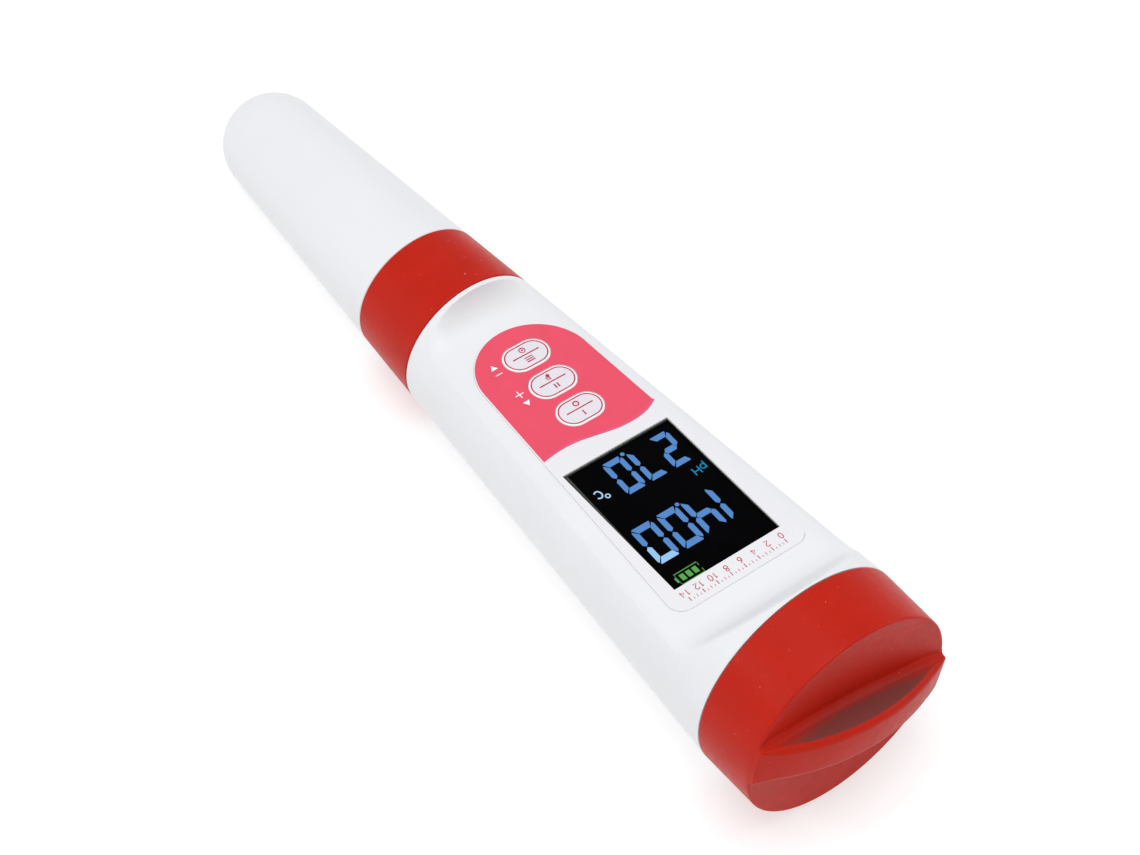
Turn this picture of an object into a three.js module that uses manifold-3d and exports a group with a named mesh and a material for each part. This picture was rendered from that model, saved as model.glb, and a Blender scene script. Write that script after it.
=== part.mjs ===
// Pen-style pH and conductivity tester, lying on its back with the screen up.
// Millimetres. The meter is built in its own frame: x runs along the axis from the probe
// tip (-) to the battery cap (+) with x = 0 at the joint of barrel and battery cap, y is
// across and z is the normal of the flat face. The whole meter then tips by the cone's
// half angle, so that the lowest line of the cone lies on Z = 0.
import * as THREE from "three";
import { mergeVertices } from "three/addons/utils/BufferGeometryUtils.js";
import Module from "manifold-3d";

const wasm = await Module();
wasm.setup();

// ---- driving dimensions -------------------------------------------------------------
const R0 = 19.0; // radius at the barrel / battery cap joint
const SLOPE = 0.0711; // cone slope: radius lost per mm towards the tip
const TIP_X = -148.4; // end of the storage cap
const RING_X0 = -96.12; // storage cap / lock ring joint
const RING_X1 = -81.59; // lock ring / barrel joint
const CAP_END = 11.27; // flat end of the battery cap
const CAP_END_R = 18.84;
const RIB_HALF = 3.5; // half width of the grip rib
const RIB_TOP = 16.2; // crown of the rib
const RIB_ARC_R = 44; // radius of the rib's domed top
const RIB_TURN = -9.7; // how far the cap stands turned from level, degrees
const FLAT_Z = 8.5; // the flat face
const FLAT_RAMP_X = -7.5; // foot of the ramp at the battery end
const FLAT_RAMP_TOP = [-0.55, 18.95];
const CREST_X = -80.55; // crest beside the lock ring
const CREST_FILLET = 5.2;
const WALL = 1.7;
const JOINT_GAP = 0.12; // half of the gap between neighbouring covers
const LABEL_TOP = 8.6;
const LABEL_T = 0.35;
const RECESS_Z = 8.0; // floor of the recess under the label
const WINDOW = { x0: -44.25, x1: -17.1, y0: -10.25, y1: 9.94 }; // visible display
const BUTTON_X = [-53.6, -60.6, -67.6];
const BUTTON_Y = 0.4;
const BUTTON_L = 8.4;
const BUTTON_W = 5.6;
const BOARD_Z0 = 1.2;
const BOARD_Z1 = 2.4;
const CELL_R = 5.8;
const CELL_T = 5.35;
const CELL_Z = -5.3;
const CELL_X = -3.65; // outer face of the first cell
const CELL_PITCH = 5.5;
const BORE_R = 11.6; // battery opening
const SPIGOT_R = 11.2;
const SPIGOT_X = -3.4;
const NOSE_R = 10.55; // threaded nose that the lock ring turns on
const NOSE_X = -88.0;
const NOSE_BORE = 8.8;
const PROBE_R = 6.9;
const PROBE_FACE = -128.0;
const GUARD_X = -135.5;
const SEG = 40; // sides of the large turned parts, with one side facing straight down

const TILT = Math.atan(SLOPE);
const X_SHIFT = 65.863;

// ---- helpers ------------------------------------------------------------------------
const coneR = (x) => R0 + SLOPE * x;

function solid(geometry) {
  const g = geometry.clone();
  g.deleteAttribute("normal");
  g.deleteAttribute("uv");
  const m = mergeVertices(g, 1e-4);
  const idx = m.index.array,
    keep = [];
  for (let i = 0; i < idx.length; i += 3)
    if (idx[i] !== idx[i + 1] && idx[i + 1] !== idx[i + 2] && idx[i] !== idx[i + 2])
      keep.push(idx[i], idx[i + 1], idx[i + 2]);
  const build = (tris) =>
    new wasm.Manifold(
      new wasm.Mesh({
        numProp: 3,
        vertProperties: new Float32Array(m.attributes.position.array),
        triVerts: new Uint32Array(tris),
      }),
    );
  let s = build(keep);
  if (s.volume() < 0) {
    const flip = [];
    for (let i = 0; i < keep.length; i += 3) flip.push(keep[i], keep[i + 2], keep[i + 1]);
    s = build(flip);
  }
  return s;
}

function geometryOf(s) {
  const m = s.getMesh(),
    n = m.numProp,
    v = new Float32Array(m.numVert * 3);
  for (let i = 0; i < m.numVert; i++) v.set(m.vertProperties.subarray(i * n, i * n + 3), i * 3);
  return new THREE.BufferGeometry()
    .setAttribute("position", new THREE.BufferAttribute(v, 3))
    .setIndex(new THREE.BufferAttribute(new Uint32Array(m.triVerts), 1));
}

// A turned solid about the x axis from [x, r] points. With `flats`, its sides touch the
// true circle, so it lies on its sides at the true radius.
function turned(points, seg = SEG, flats = true) {
  const k = flats ? 1 / Math.cos(Math.PI / seg) : 1;
  const pts = points.map(([x, r]) => new THREE.Vector2(r * k, x));
  const first = points[0],
    last = points[points.length - 1];
  if (first[1] > 0 || last[1] > 0)
    if (first[0] !== last[0] || first[1] !== last[1]) pts.push(pts[0].clone());
  const g = new THREE.LatheGeometry(pts, seg, Math.PI / seg);
  g.rotateZ(-Math.PI / 2);
  return solid(g);
}

function block(x0, x1, y0, y1, z0, z1) {
  const g = new THREE.BoxGeometry(x1 - x0, y1 - y0, z1 - z0);
  g.translate((x0 + x1) / 2, (y0 + y1) / 2, (z0 + z1) / 2);
  return solid(g);
}

// An outline in the x-y plane, extruded from z0 to z1.
function plate(points, z0, z1) {
  const g = new THREE.ExtrudeGeometry(new THREE.Shape(points.map(([x, y]) => new THREE.Vector2(x, y))), {
    depth: z1 - z0,
    bevelEnabled: false,
  });
  g.translate(0, 0, z0);
  return solid(g);
}

// An outline in the x-z plane, extruded from y0 to y1.
function side(points, y0, y1) {
  const g = new THREE.ExtrudeGeometry(new THREE.Shape(points.map(([x, z]) => new THREE.Vector2(x, z))), {
    depth: y1 - y0,
    bevelEnabled: false,
  });
  g.rotateX(Math.PI / 2);
  g.translate(0, y1, 0);
  return solid(g);
}

// A vertical cylinder along z.
function post(x, y, r, z0, z1, seg = 20) {
  const g = new THREE.CylinderGeometry(r, r, z1 - z0, seg);
  g.rotateX(Math.PI / 2);
  g.translate(x, y, (z0 + z1) / 2);
  return solid(g);
}

// A cylinder along x, centred on (y, z).
function rod(y, z, r, x0, x1, seg = 24) {
  const g = new THREE.CylinderGeometry(r, r, x1 - x0, seg);
  g.rotateZ(-Math.PI / 2);
  g.translate((x0 + x1) / 2, y, z);
  return solid(g);
}

function arc(cx, cy, r, a0, a1, n) {
  const out = [];
  for (let i = 0; i <= n; i++) {
    const a = THREE.MathUtils.degToRad(a0 + ((a1 - a0) * i) / n);
    out.push([cx + r * Math.cos(a), cy + r * Math.sin(a)]);
  }
  return out;
}

// A pill outline, long along y.
function pill(cx, cy, len, wid, n = 6) {
  const r = wid / 2,
    h = len / 2 - r;
  return [...arc(cx, cy + h, r, 0, 180, n), ...arc(cx, cy - h, r, 180, 360, n)];
}

// A torus about the x axis.
function ring(x, major, minor, seg = 28, sides = 8) {
  return turned(arc(x, major, minor, 0, 360, sides).slice(0, -1), seg, false);
}

const meter = new THREE.Group();
meter.rotation.y = -TILT;
meter.position.set(X_SHIFT, 0, R0 * Math.cos(TILT));
const group = new THREE.Group();
group.add(meter);

const COLOURS = {
  white: { color: 0xecedef, roughness: 0.42, metalness: 0 },
  red: { color: 0xb8352b, roughness: 0.4, metalness: 0 },
  label: { color: 0xf35e71, roughness: 0.35, metalness: 0 },
  black: { color: 0x07080a, roughness: 0.1, metalness: 0 },
  clear: { color: 0x101418, roughness: 0.05, metalness: 0 },
  key: { color: 0xf7e3e4, roughness: 0.4, metalness: 0 },
  rubber: { color: 0x1c1c1e, roughness: 0.8, metalness: 0 },
  steel: { color: 0xc9ccd0, roughness: 0.25, metalness: 1 },
  gold: { color: 0xd3a64a, roughness: 0.3, metalness: 1 },
  board: { color: 0x14623a, roughness: 0.5, metalness: 0 },
  chip: { color: 0x17181a, roughness: 0.6, metalness: 0 },
  grey: { color: 0x8b8f94, roughness: 0.5, metalness: 0 },
  glass: { color: 0xdfe9ec, roughness: 0.05, metalness: 0 },
  ceramic: { color: 0xf2efe6, roughness: 0.7, metalness: 0 },
  sponge: { color: 0xd9dde2, roughness: 1, metalness: 0 },
  graphite: { color: 0x2b2c2f, roughness: 0.45, metalness: 0.3 },
  milk: { color: 0xf4f6f2, roughness: 0.5, metalness: 0 },
};

function add(name, s, look, at = [0, 0, 0], parent = meter) {
  const mesh = new THREE.Mesh(
    s instanceof THREE.BufferGeometry ? s : geometryOf(s),
    new THREE.MeshStandardMaterial(COLOURS[look]),
  );
  mesh.name = name;
  mesh.position.set(...at);
  parent.add(mesh);
  return mesh;
}

// ---- storage cap --------------------------------------------------------------------
// The tip is a sphere tangent to the cone.
const TIP_R = ((R0 + SLOPE * TIP_X) * Math.cos(TILT)) / (1 - SLOPE * Math.cos(TILT));
const TIP_C = TIP_X + TIP_R;
{
  const a0 = 180,
    a1 = 90 + THREE.MathUtils.radToDeg(TILT);
  const outer = [...arc(TIP_C, 0, TIP_R, a0, a1, 7).map(([x, r]) => [x, Math.max(r, 0)])];
  outer[0] = [TIP_X, 0];
  const xEnd = RING_X0 - JOINT_GAP;
  const inR = TIP_R - 1.6;
  const inner = arc(TIP_C, 0, inR, a1, a0, 5).map(([x, r]) => [x, Math.max(r, 0)]);
  inner[inner.length - 1] = [TIP_C - inR, 0];
  add(
    "probe_cap",
    turned([...outer, [xEnd, coneR(xEnd)], [xEnd, 10.35], [xEnd - 0.6, 9.9], [-107.5, 9.9], [-108.3, 9.35], ...inner]),
    "white",
  );
  const sp = arc(TIP_C, 0, 6.85, 180, 90, 4).map(([x, r]) => [x, Math.max(r, 0)]);
  sp[0] = [TIP_C - 6.85, 0];
  add("storage_sponge", turned([...sp, [-137.2, 6.85], [-137.0, 6.6], [-137.0, 0]], 20), "sponge");
}

// ---- lock ring and its washer -------------------------------------------------------
add(
  "lock_ring",
  turned([
    [RING_X0 + JOINT_GAP, coneR(RING_X0 + JOINT_GAP)],
    [RING_X1 - JOINT_GAP, coneR(RING_X1 - JOINT_GAP)],
    [RING_X1 - JOINT_GAP, 11.3],
    [RING_X1 - 0.5, 11.0],
    [-91.6, 11.0],
    [-91.6, 9.95],
    [RING_X0 + JOINT_GAP, 9.95],
  ]),
  "red",
);
add("ring_washer", turned([[-91.35, 9.75], [-90.3, 9.75], [-90.3, 10.65], [-91.35, 10.65]], 28), "grey");

// ---- barrel -------------------------------------------------------------------------
{
  const x0 = RING_X1 + JOINT_GAP,
    x1 = -JOINT_GAP;
  let outer = turned([
    [NOSE_X, 0],
    [NOSE_X, NOSE_R - 0.4],
    [NOSE_X + 0.4, NOSE_R],
    [x0, NOSE_R],
    [x0, coneR(x0)],
    [x1, coneR(x1)],
    [x1, 0],
  ]);
  // the flat face with its concave end beside the ring and its ramp at the battery end
  const crestZ = coneR(CREST_X);
  const cut = [
    [CREST_X, 30],
    [CREST_X, FLAT_Z + CREST_FILLET],
    ...arc(CREST_X + CREST_FILLET, FLAT_Z + CREST_FILLET, CREST_FILLET, 186, 270, 6),
    [FLAT_RAMP_X - 0.7, FLAT_Z],
    [FLAT_RAMP_X + 0.35, FLAT_Z + 0.75],
    FLAT_RAMP_TOP,
    [FLAT_RAMP_TOP[0] + 2, 30],
  ];
  outer = outer.subtract(side(cut, -30, 30));
  // recess for the label
  outer = outer.subtract(plate(labelOutline(0.25), RECESS_Z, 12));
  // hollow
  const ramp = Math.atan2(FLAT_RAMP_TOP[1] - FLAT_Z, FLAT_RAMP_TOP[0] - FLAT_RAMP_X);
  const nx = -Math.sin(ramp),
    nz = Math.cos(ramp);
  const inX = FLAT_RAMP_X - nx * WALL,
    inZ = FLAT_Z - nz * WALL;
  const t = (6.85 - inZ) / Math.sin(ramp);
  let hollow = turned([
    [-79.8, 0],
    [-79.8, coneR(-79.8) - WALL],
    [-2.0, coneR(-2.0) - WALL],
    [-2.0, 0],
  ]);
  hollow = hollow.intersect(
    side(
      [
        [-85, -25],
        [-85, 6.85],
        [inX + Math.cos(ramp) * t, 6.85],
        [inX + Math.cos(ramp) * 14, inZ + Math.sin(ramp) * 14],
        [6, 25],
        [6, -25],
      ],
      -25,
      25,
    ),
  );
  // the neck round the battery opening
  hollow = hollow.subtract(turned([[-5.2, BORE_R], [-1, BORE_R], [-1, 13.1], [-5.2, 13.1]]));
  let shell = outer.subtract(hollow);
  shell = shell.subtract(turned([[-4.0, 0], [-4.0, BORE_R], [-0.6, BORE_R], [0.4, 12.0], [0.4, 0]]));
  shell = shell.subtract(turned([[-95, 0], [-95, NOSE_BORE], [-79.2, NOSE_BORE], [-79.2, 0]]));
  // display and button openings
  shell = shell.subtract(block(WINDOW.x0 - 1.0, WINDOW.x1 + 1.0, WINDOW.y0 - 1.0, WINDOW.y1 + 1.0, 6, 9));
  for (const x of BUTTON_X) shell = shell.subtract(plate(pill(x, BUTTON_Y, BUTTON_L + 0.5, BUTTON_W + 0.5), 6, 9));
  // guide rib that the carrier rests on
  add("body_shell", shell, "white");
}

// Label outline: straight end with round corners at the display, sides that follow the
// taper, and a round end below the keys. `grow` widens it all round.
function labelOutline(grow) {
  const hw = (x) => 12.93 + (x + 12.9) * 0.0548 + grow; // half width
  const xTop = -12.9 + grow,
    r = 2.5;
  const rEnd = 9.95 + grow,
    xEnd = -64.15;
  const pts = [];
  pts.push(...arc(xTop - r, hw(xTop) - r, r, 0, 88, 5));
  pts.push([xEnd, hw(xEnd)]);
  pts.push(...arc(xEnd, 0, hw(xEnd), 90, 270, 20).map(([x, y]) => [xEnd + (x - xEnd) * (rEnd / hw(xEnd)), y]).slice(1, -1));
  pts.push([xEnd, -hw(xEnd)]);
  pts.push(...arc(xTop - r, -hw(xTop) + r, r, 272, 360, 5));
  return pts;
}

{
  let label = plate(labelOutline(0), LABEL_TOP - LABEL_T, LABEL_TOP);
  label = label.subtract(block(WINDOW.x0, WINDOW.x1, WINDOW.y0, WINDOW.y1, 7, 10));
  for (const x of BUTTON_X) label = label.subtract(plate(pill(x, BUTTON_Y, BUTTON_L + 0.3, BUTTON_W + 0.3), 7, 10));
  add("face_label", label, "label");
}

// ---- display ------------------------------------------------------------------------
add("display_window", block(WINDOW.x0 - 0.7, WINDOW.x1 + 0.7, WINDOW.y0 - 0.7, WINDOW.y1 + 0.7, 6.85, 7.95), "clear");
add("lcd_panel", block(-45.7, -15.5, -10.9, 10.6, 4.6, 6.55), "black");
add(
  "lcd_frame",
  block(-47.2, -14.0, -12.1, 11.8, 2.65, 6.2)
    .subtract(block(-46.0, -15.2, -11.2, 10.9, 2, 7))
    .add(block(-46.2, -45.6, -11.4, 11.1, 2.65, 4.3)),
  "grey",
);
add("backlight", block(-45.3, -18.2, -10.6, 10.3, 2.9, 4.3), "milk");
add("zebra_strip", block(-17.6, -15.8, -9.6, 9.3, 2.7, 4.3), "rubber");

// ---- board --------------------------------------------------------------------------
const SCREWS = [
  [-49.2, 8.6],
  [-49.2, -8.6],
];
{
  let board = plate(
    [
      [-73, -9.4],
      [-71.8, -10.6],
      [-11, -11.6],
      [-11, 11.6],
      [-71.8, 10.6],
      [-73, 9.4],
    ],
    BOARD_Z0,
    BOARD_Z1,
  );
  for (const [x, y] of SCREWS) board = board.subtract(post(x, y, 1.25, 0, 4));
  add("main_board", board, "board");
  let carrier = block(-65.5, -32.6, -9.9, 9.9, -1.0, 0.9)
    .subtract(block(-62, -36, -6.6, 6.6, -2, 2));
  for (const [x, y] of SCREWS) carrier = carrier.subtract(post(x, y, 1.2, -2, 4));
  add("board_carrier", carrier, "grey");
}
SCREWS.forEach(([x, y], i) => {
  const s = post(0, 0, 1.7, 0.3, 1.3, 20)
    .add(post(0, 0, 0.9, -2.7, 0.4, 16))
    .subtract(block(-1.1, 1.1, -0.25, 0.25, 0.95, 2))
    .subtract(block(-0.25, 0.25, -1.1, 1.1, 0.95, 2));
  add("board_screw_" + (i + 1), s, "steel", [x, y, BOARD_Z1]);
});
add("controller_chip", block(-3.5, 3.5, -2.2, 2.2, 0, 1.2), "chip", [-60.6, 7.0, BOARD_Z1 + 0.25]);

// ---- keys and their switches --------------------------------------------------------
["power", "hold", "mode"].forEach((n, i) => {
  const cap = plate(pill(0, 0, BUTTON_L, BUTTON_W, 6), 0.5, 2.55)
    .add(plate(pill(0, 0, BUTTON_L - 0.5, BUTTON_W - 0.5, 6), 2.5, 2.72))
    .add(plate(pill(0, 0, 9.5, 6.5, 5), -0.1, 0.55));
  add("button_" + n, cap, "key", [BUTTON_X[i], BUTTON_Y, 6.1]);
  const sw = block(-3, 3, -3, 3, 0, 2.2).add(post(0, 0, 1.6, 2.1, 2.65, 20));
  add("switch_" + n, sw, "chip", [BUTTON_X[i], BUTTON_Y, BOARD_Z1 + 0.25]);
});

// ---- battery ------------------------------------------------------------------------
{
  let holder = rod(0, CELL_Z, 7.0, -31.2, -5.7, 32)
    .subtract(rod(0, CELL_Z, 6.1, -29.9, -5, 32))
    .subtract(block(-40, 0, -10, 10, 0.2, 10))
    .subtract(block(-24, -11, -2.4, 2.4, -20, -10));
  add("battery_holder", holder, "grey");
}
for (let i = 0; i < 4; i++) {
  const g = turned(
    [
      [0, 0],
      [0, 5.0],
      [0.35, 5.35],
      [0.45, CELL_R],
      [CELL_T - 0.35, CELL_R],
      [CELL_T, CELL_R - 0.35],
      [CELL_T, 0],
    ],
    20,
    false,
  );
  add("cell_" + (i + 1), g, "steel", [CELL_X - i * CELL_PITCH - CELL_T, 0, CELL_Z]);
}
{
  // conical contact spring behind the last cell
  class Coil extends THREE.Curve {
    getPoint(t, target = new THREE.Vector3()) {
      const turns = 3.4,
        a = t * turns * 2 * Math.PI,
        r = 4.2 - 1.9 * t;
      return target.set(3.3 * t, r * Math.cos(a), r * Math.sin(a));
    }
  }
  const n = 6,
    wire = new THREE.Shape(
      Array.from({ length: n }, (_, k) => new THREE.Vector2(0.28 * Math.cos((k * 2 * Math.PI) / n), 0.28 * Math.sin((k * 2 * Math.PI) / n))),
    );
  const g = new THREE.ExtrudeGeometry(wire, { steps: 44, extrudePath: new Coil(), bevelEnabled: false });
  add("battery_spring", solid(g), "steel", [-29.4, 0, CELL_Z]);
}
add(
  "terminal_leaf",
  side(
    [
      [-13.3, 2.65],
      [-10.6, 2.65],
      [-9.2, 4.6],
      [-4.4, 5.4],
      [-3.75, 6.4],
      [-3.95, 6.55],
      [-4.65, 5.75],
      [-9.4, 4.95],
      [-10.8, 2.95],
      [-13.3, 2.95],
    ],
    -2.2,
    2.2,
  ),
  "gold",
);

// ---- battery cap --------------------------------------------------------------------
{
  const x0 = JOINT_GAP;
  let cap = turned([
    [SPIGOT_X, 0],
    [SPIGOT_X, SPIGOT_R - 0.35],
    [SPIGOT_X + 0.35, SPIGOT_R],
    [x0, SPIGOT_R],
    [x0, R0],
    [CAP_END - 0.95, CAP_END_R],
    [CAP_END - 0.55, CAP_END_R - 0.1],
    [CAP_END - 0.15, CAP_END_R - 0.45],
    [CAP_END, CAP_END_R - 0.95],
    [CAP_END - 0.75, CAP_END_R - 4.5],
    [CAP_END - 0.85, 0],
  ]);
  // grip rib across the end: a slice of a wide disc with rounded edges, flush with the
  // side of the cap at both ends
  const cx = RIB_TOP - RIB_ARC_R,
    e = 1.2;
  const disc = [
    [0, -RIB_HALF],
    ...arc(RIB_ARC_R - e, -RIB_HALF + e, e, 270, 360, 3),
    ...arc(RIB_ARC_R - e, RIB_HALF - e, e, 0, 90, 3),
    [0, RIB_HALF],
  ].map(([r, z]) => new THREE.Vector2(r, z));
  const wheel = new THREE.LatheGeometry(disc, 72, Math.PI / 72);
  wheel.rotateX(Math.PI / 2);
  wheel.translate(cx, 0, 0);
  wheel.rotateX((RIB_TURN * Math.PI) / 180);
  let rib = solid(wheel).intersect(block(CAP_END - 2.2, 30, -30, 30, -10, 10));
  const column = turned([[0, 0], [0, R0], [x0 + 0.01, R0], [CAP_END - 0.95, CAP_END_R], [RIB_TOP + 2, CAP_END_R], [RIB_TOP + 2, 0]]);
  rib = rib.intersect(column);
  cap = cap.add(rib);
  // inside: the battery pocket, the seal groove and a cored ring
  cap = cap.subtract(turned([[SPIGOT_X - 1, 9.9], [8.2, 9.9], [8.2, 2.8], [-2.4, 2.8], [-2.4, 0], [SPIGOT_X - 1, 0]]));
  cap = cap.subtract(turned([[x0 - 0.5, SPIGOT_R + 0.15], [x0 + 1.55, SPIGOT_R + 0.15], [x0 + 1.55, 13.2], [x0 - 0.5, 13.2]]));
  cap = cap.subtract(turned([[x0 - 0.5, 14.4], [8.6, 14.4], [8.6, 17.2], [x0 - 0.5, 17.2]]));
  add("battery_cap", cap, "red");
}
add("battery_cap_seal", ring(0.86, 12.28, 0.68), "rubber");
add("battery_contact_plate", turned([[-3.15, 0.9], [-2.75, 0.9], [-2.75, 9.5], [-3.15, 9.5]], 24), "gold");

// ---- probe module -------------------------------------------------------------------
const GLASS = [0, -2.0];
const EC = [
  [3.7, 2.7],
  [-3.7, 2.7],
];
const TEMP = [0, 4.3];
const JUNCTION = [4.9, -1.6];
{
  let body = turned([
    [GUARD_X, 0],
    [GUARD_X, PROBE_R - 0.6],
    [GUARD_X + 0.6, PROBE_R],
    [-109.5, PROBE_R],
    [-107.0, 9.0],
    [-106.6, 9.3],
    [-105.4, 9.3],
    [-105.4, 8.3],
    [-103.6, 8.3],
    [-103.6, 9.3],
    [-90.05, 9.3],
    [-90.05, 10.55],
    [-88.3, 10.55],
    [-88.3, 8.25],
    [-85.6, 8.25],
    [-85.6, 7.25],
    [-83.8, 7.25],
    [-83.8, 8.25],
    [-79.9, 8.25],
    [-79.5, 7.85],
    [-79.5, 0],
  ], 32);
  // guard: open cage of four fingers round the electrodes
  body = body.subtract(turned([[GUARD_X - 1, 0], [GUARD_X - 1, 5.9], [PROBE_FACE, 5.9], [PROBE_FACE, 0]]));
  body = body.subtract(block(GUARD_X - 1, PROBE_FACE - 0.8, -3.2, 3.2, -10, 10));
  body = body.subtract(block(GUARD_X - 1, PROBE_FACE - 0.8, -10, 10, -3.2, 3.2));
  body = body.subtract(rod(GLASS[0], GLASS[1], 2.9, -131, -90, 20));
  body = body.subtract(block(-91, -78, -6.2, 6.2, -5.4, 4.6).intersect(turned([[-91, 0], [-91, 6.6], [-78, 6.6], [-78, 0]])));
  for (const [y, z] of EC) body = body.subtract(rod(y, z, 1.05, -131, -118, 12));
  body = body.subtract(rod(TEMP[0], TEMP[1], 1.45, -131, -118, 14));
  body = body.subtract(rod(JUNCTION[0], JUNCTION[1], 1.05, -131, -124, 12));
  add("probe_body", body, "graphite");
}
{
  const o = [];
  const n = 5;
  const bulbX = -130.4,
    bulbR = 3.05;
  const a1 = 180 - 0,
    a0 = THREE.MathUtils.radToDeg(Math.asin(2.45 / bulbR));
  for (const p of arc(bulbX, 0, bulbR, a1, a0, n)) o.push([p[0], Math.max(0, p[1])]);
  o[0] = [bulbX - bulbR, 0];
  o.push([-92, 2.45], [-92, 1.85]);
  const inR = 2.5;
  const b0 = THREE.MathUtils.radToDeg(Math.asin(1.85 / inR));
  const inner = arc(bulbX, 0, inR, b0, 180, n).map(([x, r]) => [x, Math.max(0, r)]);
  inner[inner.length - 1] = [bulbX - inR, 0];
  add("glass_electrode", turned([...o, ...inner], 20, false), "glass", [0, GLASS[0], GLASS[1]]);
}
add("silver_wire", rod(0, 0, 0.4, -131, -89.5, 10), "steel", [0, GLASS[0], GLASS[1]]);
add("reference_junction", rod(0, 0, 0.8, -128.25, -124.3, 14), "ceramic", [0, JUNCTION[0], JUNCTION[1]]);
EC.forEach(([y, z], i) =>
  add(
    "conductivity_pin_" + (i + 1),
    turned([[-133.2, 0], [-133.2, 0.5], [-132.9, 0.8], [-118.3, 0.8], [-118.3, 0]], 14, false),
    "graphite",
    [0, y, z],
  ),
);
add(
  "temperature_sensor",
  turned([[-132.6, 0], [-132.45, 0.6], [-132.0, 1.0], [-131.4, 1.2], [-118.3, 1.2], [-118.3, 0]], 16, false),
  "steel",
  [0, TEMP[0], TEMP[1]],
);
add("cap_seal", ring(-104.5, 9.12, 0.66), "rubber");
add("probe_seal", ring(-84.7, 8.03, 0.6), "rubber");
{
  let plug = block(-79.2, -76.4, -5.4, 5.4, -2.2, 1.0).add(block(-83.5, -79.1, -4.6, 4.6, -1.6, 0.6));
  for (let k = -2; k <= 2; k++) plug = plug.add(block(-76.5, -72.0, k * 1.9 - 0.32, k * 1.9 + 0.32, -0.9, -0.3));
  add("probe_plug", plug, "chip");
  const socket = block(-75.9, -68.0, -5.6, 5.6, -2.6, 0.85).subtract(block(-77, -70.6, -4.6, 4.6, -1.4, 0.2));
  add("probe_socket", socket, "milk");
}

export default group;
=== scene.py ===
# Looks for the pen-style water tester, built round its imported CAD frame.
# Shapes are worked out in the meter's own frame in millimetres (x along the axis from probe
# tip to battery cap, y across, z the normal of the flat face), then placed in the row frame.
import math
import bpy
import bmesh
import numpy as np
from mathutils import Matrix, Vector


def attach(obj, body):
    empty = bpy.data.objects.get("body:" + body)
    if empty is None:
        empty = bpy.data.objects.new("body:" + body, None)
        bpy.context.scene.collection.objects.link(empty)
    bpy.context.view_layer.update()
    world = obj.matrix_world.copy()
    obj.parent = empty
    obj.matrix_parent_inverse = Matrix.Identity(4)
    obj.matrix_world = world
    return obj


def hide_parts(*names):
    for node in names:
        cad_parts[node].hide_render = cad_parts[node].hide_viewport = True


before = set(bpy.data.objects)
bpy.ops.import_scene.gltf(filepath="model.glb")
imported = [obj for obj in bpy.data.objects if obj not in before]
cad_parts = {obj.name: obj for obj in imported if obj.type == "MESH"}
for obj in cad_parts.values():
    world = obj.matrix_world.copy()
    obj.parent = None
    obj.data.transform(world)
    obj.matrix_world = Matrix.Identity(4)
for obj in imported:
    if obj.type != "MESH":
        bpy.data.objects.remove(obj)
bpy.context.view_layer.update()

# ---- the meter's frame --------------------------------------------------------------
SLOPE = 0.0711
TILT = math.atan(SLOPE)
CT, ST = math.cos(TILT), math.sin(TILT)
R0 = 19.0
XS = 65.863
M = Matrix(
    (
        (CT * 0.001, 0, -ST * 0.001, XS * 0.001),
        (0, 0.001, 0, 0),
        (ST * 0.001, 0, CT * 0.001, R0 * CT * 0.001),
        (0, 0, 0, 1),
    )
)
MN = np.array(M)
CAM = np.array([169.10, -184.59, 334.07])


def cone(x):
    return R0 + SLOPE * x


def onz(x, y, z):
    """A point seen at (x, y) on the flat face, moved to height z along the view."""
    k = (z - 8.5) / (CAM[2] - 8.5)
    return x + (CAM[0] - x) * k, y + (CAM[1] - y) * k


# ---- mesh helpers -------------------------------------------------------------------
def make(name, verts, faces, body, mat, angle=32, smooth=True, local=True):
    v = np.asarray(verts, float)
    if local:
        v = v @ MN[:3, :3].T + MN[:3, 3]
    me = bpy.data.meshes.new(name)
    me.from_pydata(v.tolist(), [], [list(map(int, f)) for f in faces])
    me.validate(clean_customdata=False)
    me.update()
    ob = bpy.data.objects.new(name, me)
    bpy.context.scene.collection.objects.link(ob)
    finish_mesh(ob, mat, angle, smooth)
    if body:
        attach(ob, body)
    return ob


def outward(me):
    bm = bmesh.new()
    bm.from_mesh(me)
    bmesh.ops.recalc_face_normals(bm, faces=bm.faces)
    if bm.calc_volume(signed=True) < 0:
        bmesh.ops.reverse_faces(bm, faces=bm.faces)
    bm.to_mesh(me)
    bm.free()


def finish_mesh(ob, mat, angle=32, smooth=True):
    me = ob.data
    outward(me)
    me.polygons.foreach_set("use_smooth", [smooth] * len(me.polygons))
    if smooth and angle:
        me.set_sharp_from_angle(angle=math.radians(angle))
    for m in mat if isinstance(mat, (list, tuple)) else [mat]:
        me.materials.append(m)
    me.update()


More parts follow.
